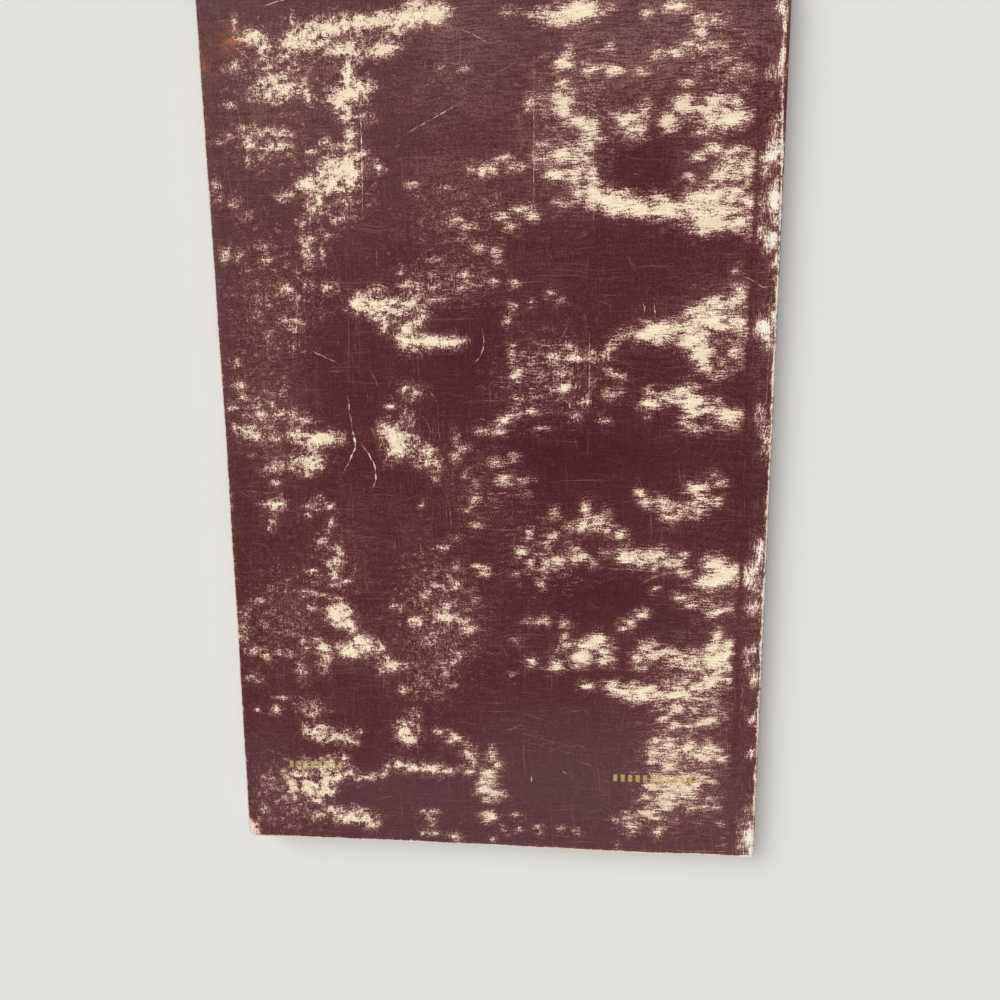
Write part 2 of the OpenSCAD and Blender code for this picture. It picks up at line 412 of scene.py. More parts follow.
head_scuffs = [
    (-36, 96, 6.4, 1.9, 1, 6), (-26, 96.6, 6, 1.5, 1, 2), (-17, 97.4, 6, 1.9, 1, 3), (-10.8, 97.7, 3.2, 2.2, 1, 4),
    (-43.5, 93.6, 3.8, 1.8, 1, 18), (-32, 91.2, 4.4, 1.6, .88), (-23.5, 91, 4, 1.6, .95, 4),
    (-27, 93.4, 7, .9, .36), (-54, 94.6, 3.6, 1.4, .95, -4), (-51, 92.5, 2.6, 2.2, .65, -40),
    (-45.3, 90.5, 2.4, 1.4, .7), (-50.5, 85.4, 2.8, 1.4, .95, 10), (-47.5, 86.5, 3, 1.4, .6, 20),
    (-51, 88.5, 4, 2.5, .5), (-50, 82.5, 6, 2.4, .65), (-43, 83, 3, 2, .6, -10), (-41.3, 81, .7, 1.6, .8),
    (-31.3, 88, .9, 2.2, .85), (-32, 85.2, 1.2, 1.5, .9), (-32.8, 81.5, 4.2, 2.3, 1, 14),
    (-28.6, 83, 3, 1.6, .9, 10), (-33.2, 78.6, 2.4, 1.5, .7), (-31.4, 76.6, 3, 1.3, .72), (-27, 76.5, 1.3, .9, .75),
    (-52, 74, 6, 1.6, .52, -6), (-48, 73.4, 3, 1.2, .62), (-57.3, 75, 1.1, .7, .52), (-62, 73, 3.5, 1.2, .5, 10),
    (-50, 70.6, 4, .8, .85, 4), (-31.5, 72.8, 1.6, 1.8, .8), (-34, 70.2, 4, .8, .65), (-37.5, 71.5, 1, .8, .7),
    (-33.8, 65.2, 4.6, 2.9, 1), (-37, 66.5, 2, 1.2, .8), (-38, 64.6, 2.2, 1.5, .9), (-42, 62.2, 3.2, 1.9, 1, 8),
    (-37, 62.6, 3, 1.2, .85), (-48, 59.6, 2.2, .9, .7), (-41, 57.5, 2.2, 2, .7, 50), (-39.7, 60, .5, 6, .6),
    (-35, 54.2, 2.2, .8, .8, 12), (-57.6, 55.5, 1.2, .7, .75), (-60.3, 58.7, 2, 1.6, .5), (-56.4, 68, .7, 1.5, .5),
    (-64.6, 63, .8, 2.4, .6), (-64, 59.5, 1, 1.5, .5), (-29, 68.4, 1.5, 1.4, .86), (-25.5, 65.4, .6, 1.1, .95),
    (-44, 98, .5, 1.3, .75), (-57.5, 98, .5, 1.3, .75), (-58.3, 88.6, 2.4, .9, .75, 25),
    (-59.8, 80.2, 1.6, .8, .65), (-33.5, 58, 3, 1.6, .5), (-43.5, 54, 2, 1, .6), (-2.5, 64.5, 3.5, 1.6, .46),
    (-1, 63.6, 1.4, 1, .85), (-17.5, 61.2, 2.6, .6, .55), (-16.5, 59.2, 2, 1, .36), (-9.5, 60.7, .8, .5, .7),
    (-8, 53.2, 2.2, .9, .8, 8), (-4.5, 52, 2.5, .8, .6), (-5, 86, 2, 1, .45), (-10, 86.5, 1, 1, .4),
    (12.5, 96.6, 2.6, 1.1, .8), (20.9, 96.7, 5.4, 2.1, 1), (17, 95.4, 4, 1, .95), (6, 97.5, 4, 1.5, .34),
    (36, 95.7, 1.6, .7, .7, 10), (42, 96.6, 3.2, 1.1, .85), (47.5, 91.5, 2, 1.6, .75), (47, 94, 1.6, 1.4, .6),
    (17.6, 86.1, 2.6, 1.6, .82), (18.7, 89, 1.4, 1.3, .6), (24, 84.8, 2, .8, .85), (28.5, 84.2, 2.6, 1.1, .8),
    (34.6, 83.4, 1.8, .8, .68), (37.5, 87.3, 1.3, 1, .9), (41.6, 87.1, 2.2, .9, .8), (27.5, 89, 1.6, 1.1, .6),
    (50, 88, 5, 1.5, .48), (56, 83, 3, 1.5, .5), (44.5, 81, 1.8, .9, .6), (17.2, 78, 2.6, 2.8, .86),
    (17, 82, 2, 1, .6), (11.5, 79, 2.5, .6, .55), (21, 73.6, 2.6, 1.6, .85, -10), (23.6, 72.6, 1.6, 2.2, .9),
    (25.2, 69.8, 1.3, 1, .8), (31.6, 73.6, 3, 2, .78), (35.9, 76.4, .5, 1.6, .95), (35, 71.5, 1.2, 1, .7),
    (40.6, 73.4, 2.2, 1.4, .7, 60), (44, 76.4, 2.1, 2, 1), (47, 75, 3, 1, .85), (51.5, 77, 3, 1.4, .85),
    (55.6, 76.8, 1.7, 1, .66), (54, 73.2, 4.4, 1.8, 1, 4), (49.5, 74.5, 2, 1.4, .8), (48.6, 70.7, 2.6, .8, .8, 12),
    (17, 67, 3.2, 2, .8), (15.6, 62.6, 2.3, 1.1, 1), (21, 66, 3, 3.6, .68), (20, 62.2, 4, 1.4, .68),
    (24.2, 62.5, 1, 2.5, .75), (13, 69, 2, 1, .55), (4, 66.6, 2.2, .8, .58), (6.5, 64.6, 2.5, 1.2, .6),
    (1, 64.4, 1.6, 1.4, .8), (24.6, 58, 2.4, 2.8, 1), (28.6, 56.4, 3.4, 2.1, 1, -12), (34.5, 54.8, 4, 1.6, 1, -8),
    (40.5, 54.2, 4.5, 1.7, 1, -6), (39.4, 56.8, 2.2, 1.1, .7), (31.5, 58.6, 1.2, .9, .7), (31.8, 56.2, 2, 1.4, .95),
    (49, 56.6, 4.6, 2, .92, 4), (55.4, 57, 3.4, 1.7, .85), (48.5, 53.6, 4.4, 2, .9), (54, 54, 4, 1.8, .75),
    (50.6, 51, 4.8, 1.8, 1), (57, 50.8, 2.6, 1.2, 1), (53.4, 62.6, 2.6, 2, .7), (57.8, 63, 2.6, 1.9, .78),
    (56.4, 66.6, 2.4, .7, .72), (51, 67.2, 1.8, 1, .85), (48.2, 65.6, 2.2, .8, .8, 8), (45.5, 61, 2, .7, .6),
    (58.5, 59.5, 1, 1, .5), (61.4, 62.6, 2.2, 2.2, .7), (64.6, 56, 1.4, 2.4, 1), (64.9, 59, .6, 1.5, .8),
    (62.8, 82.4, 1.6, 1.6, .5), (64.9, 83, .8, 1.8, .8), (8, 55.2, 2.8, 1, .72), (3, 54, 2.6, 1.2, .6),
    (5.6, 51.4, 2, 1.2, .6, 20), (10.5, 53.5, 2, 1, .6), (17, 56.4, 2.4, 1, .62), (21, 57.4, 1.4, 1.3, .6),
    (60, 55.2, 2.5, 2.2, .8), (63.4, 65, 1.8, 1.8, .8), (-46.8, 84.4, 2.4, 2, .82), (-39.2, 92.8, 4.4, 1.5, .8, 4),
    (-20, 95, 2.4, 1.5, .88), (52.2, 60.6, 2.2, 1.3, .8), (33.6, 71.2, 2.6, 2, .68), (35.7, 75.2, 1.8, 1.5, .56),
    (-37, 61.2, 4, 1.6, .88), (-32.4, 62.6, 2.2, 1.5, .86), (45, 88.2, 3, 2.4, .56), (64.6, 95.4, 1.6, 1.6, .72),
    (20.6, 60, 2.6, 1.8, .62), (17.8, 75.2, 2, 1.7, .76), (23, 69.6, 2.2, 1.9, .7), (-55.5, 71.9, 2.2, 1.6, .66),
    (64.2, 71.6, 1.4, 3, .42), (50.6, 93.4, 3.6, 2.2, .42), (41.2, 73.2, 2.2, 1.9, .78), (29.2, 54.4, 2, 1, .85),
    (-16.1, 99.9, 2.2, 1, .9), (54.4, 65, 2.4, 1.9, .64), (64.2, 66.4, 2, 2, .84), (60.9, 65, 2, 1.6, .74),
    (52.2, 75.2, 1.6, 1.1, .9), (10, 78.2, 1.9, 2, .6), (61.2, 55.4, 1.4, 2.2, .68), (55.2, 61, 1.6, 1.2, .82),
    (13.4, 66, 4, 2.6, .47), (-40.6, 69.6, 2, 1, .6), (-28.4, 96.7, 3, 1.1, 1), (-29.6, 89.7, 2, 1.4, .7),
]
middle_scuffs = [
    (-63.4, 46.8, 1.3, 1.9, .75), (-60.2, 46.4, .7, 1.7, .7), (-53, 45.6, 2, .8, .6), (-54.5, 48.5, 2, 1.5, .45),
    (-43.4, 50, 1.7, 1.7, .75), (-43, 46, 1.8, 2.5, .55), (-38, 50.8, 1.6, .8, .65), (-39.3, 47, .6, 3, .5),
    (-43.4, 39.4, 1.4, 1, .65), (-38, 38.7, 2.2, 1.2, .72), (-48.4, 38.2, 1.7, 1.4, .7), (-47, 36.4, 1.6, 1, .6),
    (-43, 43.5, 1.6, 1, .55), (-31, 34.6, 2.4, 1.8, 1), (-31.5, 37.3, 1.4, .9, .55), (-26.4, 34.4, 4.2, 1.7, 1),
    (-27, 38, 2.8, 1.1, .72), (-20, 34.9, 5, .8, .88), (-18.4, 38.4, 2.6, 1.6, .6), (-14, 38.2, 3.4, 1, .62),
    (-13, 35.5, 3, .7, .75), (-25.6, 31.4, 2.6, 1.3, .66), (-21.2, 32.6, 2.8, 1.6, .8), (-16, 32, 2, 2.2, .62),
    (-25.2, 29.4, .8, 1.4, .8), (-20.6, 42, .9, 1, .55), (-19.6, 26, 2.9, 1.8, .95), (-20.2, 28.6, 1.8, 1.2, .85),
    (-14.5, 25.6, 3.6, 1.4, 1), (-9.6, 25.5, 3.2, 1.1, 1), (-7, 25.4, 1.8, .6, .66), (-17, 23.8, 3, .6, .6),
    (-6, 41, 1.8, 1, .62, 10), (-5, 38.6, 3, 1.2, .5), (-2.4, 47, 2.6, 1.6, .48), (-6, 49, 2, 1, .5),
    (-12.6, 44.6, 1.6, .8, .6), (-54, 27.6, 1.7, 1.3, .48, 20), (-50, 31.6, 2.2, 1.4, .42, -30),
    (-56, 36, 1.4, 3, .36), (-47, 30, 2.4, 2, .55), (-47.7, 24.6, .8, 1.6, .55), (-62.4, 21.2, 1.5, .8, .65, 10),
    (-62, 15.6, 2.4, 1, .6), (-61.5, 12.6, 1.8, 1.2, .65), (-63.8, 10.4, 1.2, .7, .75), (-57, 8.6, 1.6, 1.2, .75),
    (-54, 11, 1, .8, .65), (-59, 10.4, 2.4, .6, .6), (-52.6, 8.6, 1.8, 1.2, .6), (-48, 8, 4.4, 1.4, .58, -8),
    (-60.6, 4.2, 3.4, 1.3, .9, -12), (-57.8, 2.8, 2, 1, .7), (-48, 3.4, 2.6, 1.7, .9), (-42.5, 2, 3.8, 1.7, 1, 4),
    (-39, 2.6, 2.6, 1, .95), (-53.5, 3, 2, 2, .5), (-51, 14.5, 1, 1.4, .45), (-18.6, 13.6, 2.8, 1.5, .62),
    (-20.6, 14.6, 1, .8, .7), (-24, 10.4, 1.8, .7, .65), (-21, 8, .8, 1.6, .62), (-24.8, 4.6, 2.2, 1.4, 1, -20),
    (-23, 2.2, 3, 2.6, 1), (-21, 3.4, 1.6, 1.4, .8), (-21.8, -.6, 1.9, 1.6, 1), (-18.5, 1.5, 1.6, 2, .6),
    (-2, 4.2, 2.2, 1.2, .55), (-8.2, 2, 1.1, 2.2, .55), (2, 46, 1.4, 1.1, .68), (2, 43.4, 1.4, .9, .55),
    (1, 39.2, 1.2, 1.7, .52), (6, 38.8, 1.6, .9, .6), (6, 33.3, 1.1, .6, .72), (4.4, 30.5, .7, 1.4, .55),
    (15, 36.5, 1.6, .8, .5), (10, 34.8, .7, .5, .6), (17, 34.7, .6, .5, .7), (5.6, 22.5, .8, 2.2, .6),
    (10.6, 22, .8, 1.2, .5), (6.6, 17.6, 1.5, 1.9, .72), (15.6, 22, 1.8, 1.1, .75), (20.2, 21.4, 2.2, 1, .82),
    (19, 24.3, 2, 1, .5), (17, 18, 2.8, 1.5, .6), (17.6, 14.4, 2.3, 1, .85), (14, 14.8, .8, .5, .62),
    (6.5, 24.7, .7, .7, .48), (28, 22.4, 1.1, 2, .7, -20), (29.4, 25, 1.6, 1, .6), (30.4, 17.4, 2.2, .8, .62, -6),
    (28.4, 18.6, .9, .8, .6), (29, 13, 2.6, 1.1, .58), (22.6, 11, 1.7, 1.1, .65), (24, 15, 1, 3, .36),
    (7, 12, 1.6, 1, .5), (27, 6.9, 1.6, .5, .6), (32, 26.6, 2, .9, .65, 10), (39.4, 27.6, 3.9, 1.7, 1, 8),
    (36.5, 26.5, 2, 1.4, .9), (43.5, 28, 2, 1.6, .8), (47, 25.4, 3.2, 1.2, .9), (49.6, 22, 2.3, 3, 1),
    (50.5, 18.8, 1.6, 1, .66), (51.6, 29.6, 5, 1.9, .88, 4), (46.6, 31.4, 1.8, .9, .75, 20),
    (52, 33, 3, 1.8, .82, 10), (56.6, 33.6, 2.6, 2, .7), (57.6, 29, 2.6, 2, .75), (58, 26, 1.6, 1.4, .55),
    (57.2, 22.6, 1.7, 1.5, .8, 40), (54, 17, 3, 1.2, .55), (58, 19, 1.5, 1.2, .5), (63.4, 28, 2, 1.9, .95),
    (65.8, 30.5, .8, 1.6, 1), (38.2, 10.6, 2.4, 1.1, .92, 8), (38, 13, 1.2, 1.2, .65),
    (41.6, 12, 2.2, 1.3, .72, 14), (44.6, 11.6, 1.8, 1.2, .85), (46, 13.6, 2.8, 1.2, .88, 6),
    (48, 10.4, 2.4, 2.1, 1), (47.6, 7.6, 1.4, 1, .75), (51.4, 9.2, 2.6, 1, .8), (52.5, 11.4, 2, .8, .7),
    (56.2, 7.8, 2.8, 1.6, .95), (57, 5.6, 2.4, .8, .7), (49, 4.6, 3, .9, .68), (46, 6.3, 1.2, .5, .8),
    (37.6, 7.6, .8, .8, .42), (63.6, 8, 1.6, 2.8, .5), (64.6, 4.6, 1.2, 1.6, .7), (3.4, 6.8, 2, .8, .9, 20),
    (2, 4.3, 1.8, .8, .74, -10), (6.4, 8.6, 1.6, 1, .65), (10, 9, 1.6, .9, .6), (20.4, 7.3, .5, .7, .8),
    (12.5, 5, 2.5, .6, .45), (64.4, 47, 1.4, 2.2, 1), (65.2, 51, .9, 1.2, .76), (65.6, 42.5, .6, 1.6, .9),
    (59.5, 52, 1.5, 2, .45), (56.5, 40.5, 1, 1, .55), (40.3, 25.6, 2.4, 1.4, .86), (47.2, 27.9, 2.8, 1.7, .8),
    (57.2, 36, 2.6, 2.2, .54), (60.6, 48.8, 2.6, 2.4, .58), (54.4, 28.2, 2.4, 1.2, .8), (46.2, 24, 2, 1.2, .78),
    (65, 1.4, .9, 4, .5), (60.2, 27, 2.4, 2, .68), (64.4, 24.9, 1.4, 2.2, .7), (-17.3, 36, 1.6, 1.2, .72),
    (50.2, 26.7, 1.6, 1.2, .86), (24, 21.6, 1.3, 1.8, .56), (49, 31.6, 1.4, 1.4, .9), (-20, 6.8, 1.9, 1.3, .6),
    (53.9, 20.2, 1.6, 1, .55), (-18.8, 29.6, 2.6, 1.5, .74),
]
lower_scuffs = [
    (-44.6, -3.6, 2.8, 2, .95), (-49, -4.2, 3.2, 1.3, .7), (-53.4, -4, 2, 1.7, .65), (-56, -5.2, 1.2, .7, .72),
    (-47, -6.2, 1.8, .9, .68), (-54, -8.4, 1, 1.2, .68), (-60, -1.5, 1.2, 2, .4), (-57, -14, 1.4, .9, .72),
    (-54, -14, 2, 1, .92), (-44.4, -14.4, 2.6, 1.3, .52), (-43.5, -12.5, 1.4, .9, .48), (-40.6, -14.5, 1.2, .8, .6),
    (-56.4, -20, .8, .5, .65), (-40.4, -18.8, .9, .8, .8), (-41.4, -21.2, .8, .8, .7),
    (-43, -23.6, 1.2, .9, .78, 30), (-55.5, -17.5, .8, 2.5, .55), (-46, -16.7, 1, .5, .65),
    (-41, -28.8, .9, .8, .98), (-38.6, -28.5, 1.3, 1.2, .85), (-38.6, -25.8, 1.2, 1.8, .65),
    (-40, -32.2, 1.1, 1.5, .78), (-46.2, -31, 1.7, .6, .78), (-36.5, -33.5, 1.8, .8, .55),
    (-40, -34.3, 1.8, .5, .6), (-61, -39.5, 3, .6, .55), (-47, -36.6, 2.6, .8, .7, -10),
    (-41, -37.8, 4, .7, .56, -10), (-39.6, -42.4, 3.2, 2.5, 1), (-39, -40, 1.8, 1, .8),
    (-36.2, -45.8, 1.6, 1, .82, -45), (-34, -48.9, 2.8, 1.2, .88), (-46, -41, 2, 1, .6), (-47.4, -49.4, 3, 1.2, .6),
    (-64.4, -43, 2, 1.8, .4), (-65.6, -49, 1.6, 1.2, .65), (-62, -52.6, 3.2, 1, .62), (-59, -54, 1.7, .7, .72),
    (-55.8, -52.7, 1.6, .9, .65), (-64, -46.5, 2, .7, .48), (-59.5, -45, 2, 1.5, .3), (-19, -43.6, 2.2, 1.1, .88),
    (-11.6, -42.6, 2.6, 1.5, .82), (-11.8, -39.6, 1.8, 1.3, .8), (-6, -45.6, 2.2, 1.3, .75),
    (-24, -40, 2.2, 1.1, .6), (-16.4, -48.4, 2.2, 1, .6), (-19.6, -45.7, 1, 1, .7), (-7, -43.3, 2.4, .9, .62),
    (-9, -29.4, 1.2, 1.1, .68), (-1.8, -30.6, 1.6, 1.3, .7), (-3.5, -29.2, 1.2, .7, .7), (-9, -34, 1.5, 1.3, .65),
    (-14, -34.4, 2.6, .9, .58), (-17, -36.8, 1.8, 1, .62), (-12.4, -46.5, 1.6, 1.2, .4), (-4, -37.5, 1.4, 1, .5),
    (-13.4, -6.8, 1, 1.7, .62), (-16.4, -3.4, 2, 1.6, .76), (-15.6, -.8, 2.2, 1.4, .82), (-19, 0, 1.2, 1.6, .6),
    (-8.4, -2, 1.2, 1.8, .65), (-4, -12.6, 1.6, 1.2, .7, 30), (-6, -15.2, 1.4, .6, .65), (-3.6, -18.8, 2, .8, .65),
    (-9, -22.4, 1, .5, .82), (-11.5, -24.6, 2.2, .8, .6), (-6.4, 0, 1.6, .7, .75), (-6, -6.5, 1.2, 1, .5),
    (-3.5, -8.5, 1.6, 1.6, .42), (-17, -13.7, .8, .6, .7), (1.6, -3, 2.2, 1.3, .62), (5.6, -2.2, 1.2, 1.4, .55),
    (3.4, -7.6, 2.3, 1.4, .78), (8.5, -7.5, 3, 1, .45), (8, -11, 2, 1, .45), (36.4, -11, 1.4, .8, .85, -50),
    (38, -12.8, 1.6, .8, .98, -20), (41.6, -13.5, 2.2, 1.3, .86, -10), (46.4, -14.4, 1.8, 1.2, .82),
    (49.6, -9.4, 2.3, 1.1, 1), (50.6, -12.4, 2.8, 1.8, .64), (54.6, -12.4, 1, .9, .8), (55, -8, 1.7, .8, .62),
    (50, -15, 2.8, .9, .68, 6), (43.4, -16.7, 2.3, .7, .88), (48.4, -16.4, 2, .7, .48), (53.5, -6.5, 1, .7, .6),
    (23.2, -15.2, .7, 2.2, .88), (22.4, -18.8, 1.2, 1.5, 1), (26, -18, 2.5, 1.6, .75), (27.6, -15.8, 1.4, 1, .65),
    (31.6, -20.8, 1.6, 1.1, .76, -10), (28.8, -20.2, 1.4, .9, .7), (15.5, -16, 2, 2, .42),
    (7.4, -25.5, 1.7, .9, .75), (9.6, -21, 1, 2, .62), (15.4, -21.4, 1.3, 1.1, .6), (9.6, -28.4, 1.2, 1.2, .68),
    (6, -31, 1.2, .6, .55), (14, -24, .9, 2, .5), (19, -19, 2, 1, .5), (16.4, -27.5, 2.6, 1.1, .88),
    (21.4, -26.9, 2.6, 1.1, .82), (20.3, -24.6, 1.4, .9, .55), (13.4, -28.6, 1.1, 1.4, .78), (13, -31, 1, 1.1, .68),
    (12.2, -34, 1.2, .8, .62), (25, -28, 1.5, .8, .65), (33.6, -26.4, 3, 1.5, 1, -8), (38.4, -26.3, 2.8, 1.3, .92),
    (41.4, -25.6, 1.4, 1.2, .85), (44.2, -27.7, 2.6, 1.4, .78), (46.5, -26, 1.6, .7, .7), (40, -29, .8, .9, .7),
    (36, -28.4, 1.5, .7, .75), (28, -25.5, 2, 1, .5), (54.2, -27.8, 2.8, 1.6, 1), (57, -30, 3.4, 1.9, 1, 10),
    (53.4, -32.2, 3.6, 1.5, 1, 4), (57, -32.4, 2, 1, .9), (61, -31.4, 1.8, 2.2, .85), (61.8, -29, 1, 1, .7),
    (53, -34.6, 1.6, .7, .65), (64.5, -28, .8, 2, .6), (46.6, -36.6, 1.7, 1.1, .75, -20), (49, -38, 2.4, 1, .65),
    (52.4, -37.5, 1.6, 1.2, .55), (55, -39.7, 1.7, .8, 1), (57.2, -39.2, .9, .7, .85), (62.4, -38.6, 1.8, 1.2, .55),
    (53.5, -41, 1.6, .5, .6), (37, -40.8, 1.7, .8, .9, 20), (34.2, -42.9, 1.4, 1, .75, 40),
    (32.6, -44.4, 1, .8, .75), (40.2, -34.4, .4, .4, .8), (26.4, -47.5, 2.2, 1.3, 1), (24, -49, 3.2, 1.2, .95),
    (55.4, -46, 1.1, 1.6, .8), (58.2, -48.6, 1.6, 2.2, .8), (56, -48.6, 1.6, 1, .8), (12, -43, 3.2, .9, .62),
    (18.4, -43.6, 1.3, 1.2, .65), (18, -46.8, 1.2, 1.2, .55), (18.6, -49, 1.2, .8, .6), (16.7, -50.2, .7, .5, .75),
    (6, -48.5, 1.4, 1, .5), (9, -43, 1.5, .7, .5), (62.8, -30.6, 2, 2.2, .84), (64.9, -24.5, 1.2, 2.6, .76),
    (38.8, -49.6, 2.8, 1.9, .74), (-37.8, -44.8, 2, 1.4, .92), (54.6, -49.4, 2.8, 1.5, .77),
    (63.6, -50, 1.6, 2.2, .56), (63.9, -39.1, 1.4, 2, .62), (-48.8, -3, 2.4, 1.4, .76), (-24, -.5, 1.5, 2.2, .9),
    (64.3, -33.8, 1.6, 1.2, .6), (-13, -4, 1.3, 3, .62), (46.7, -30, 1.8, 1.4, .6),
]
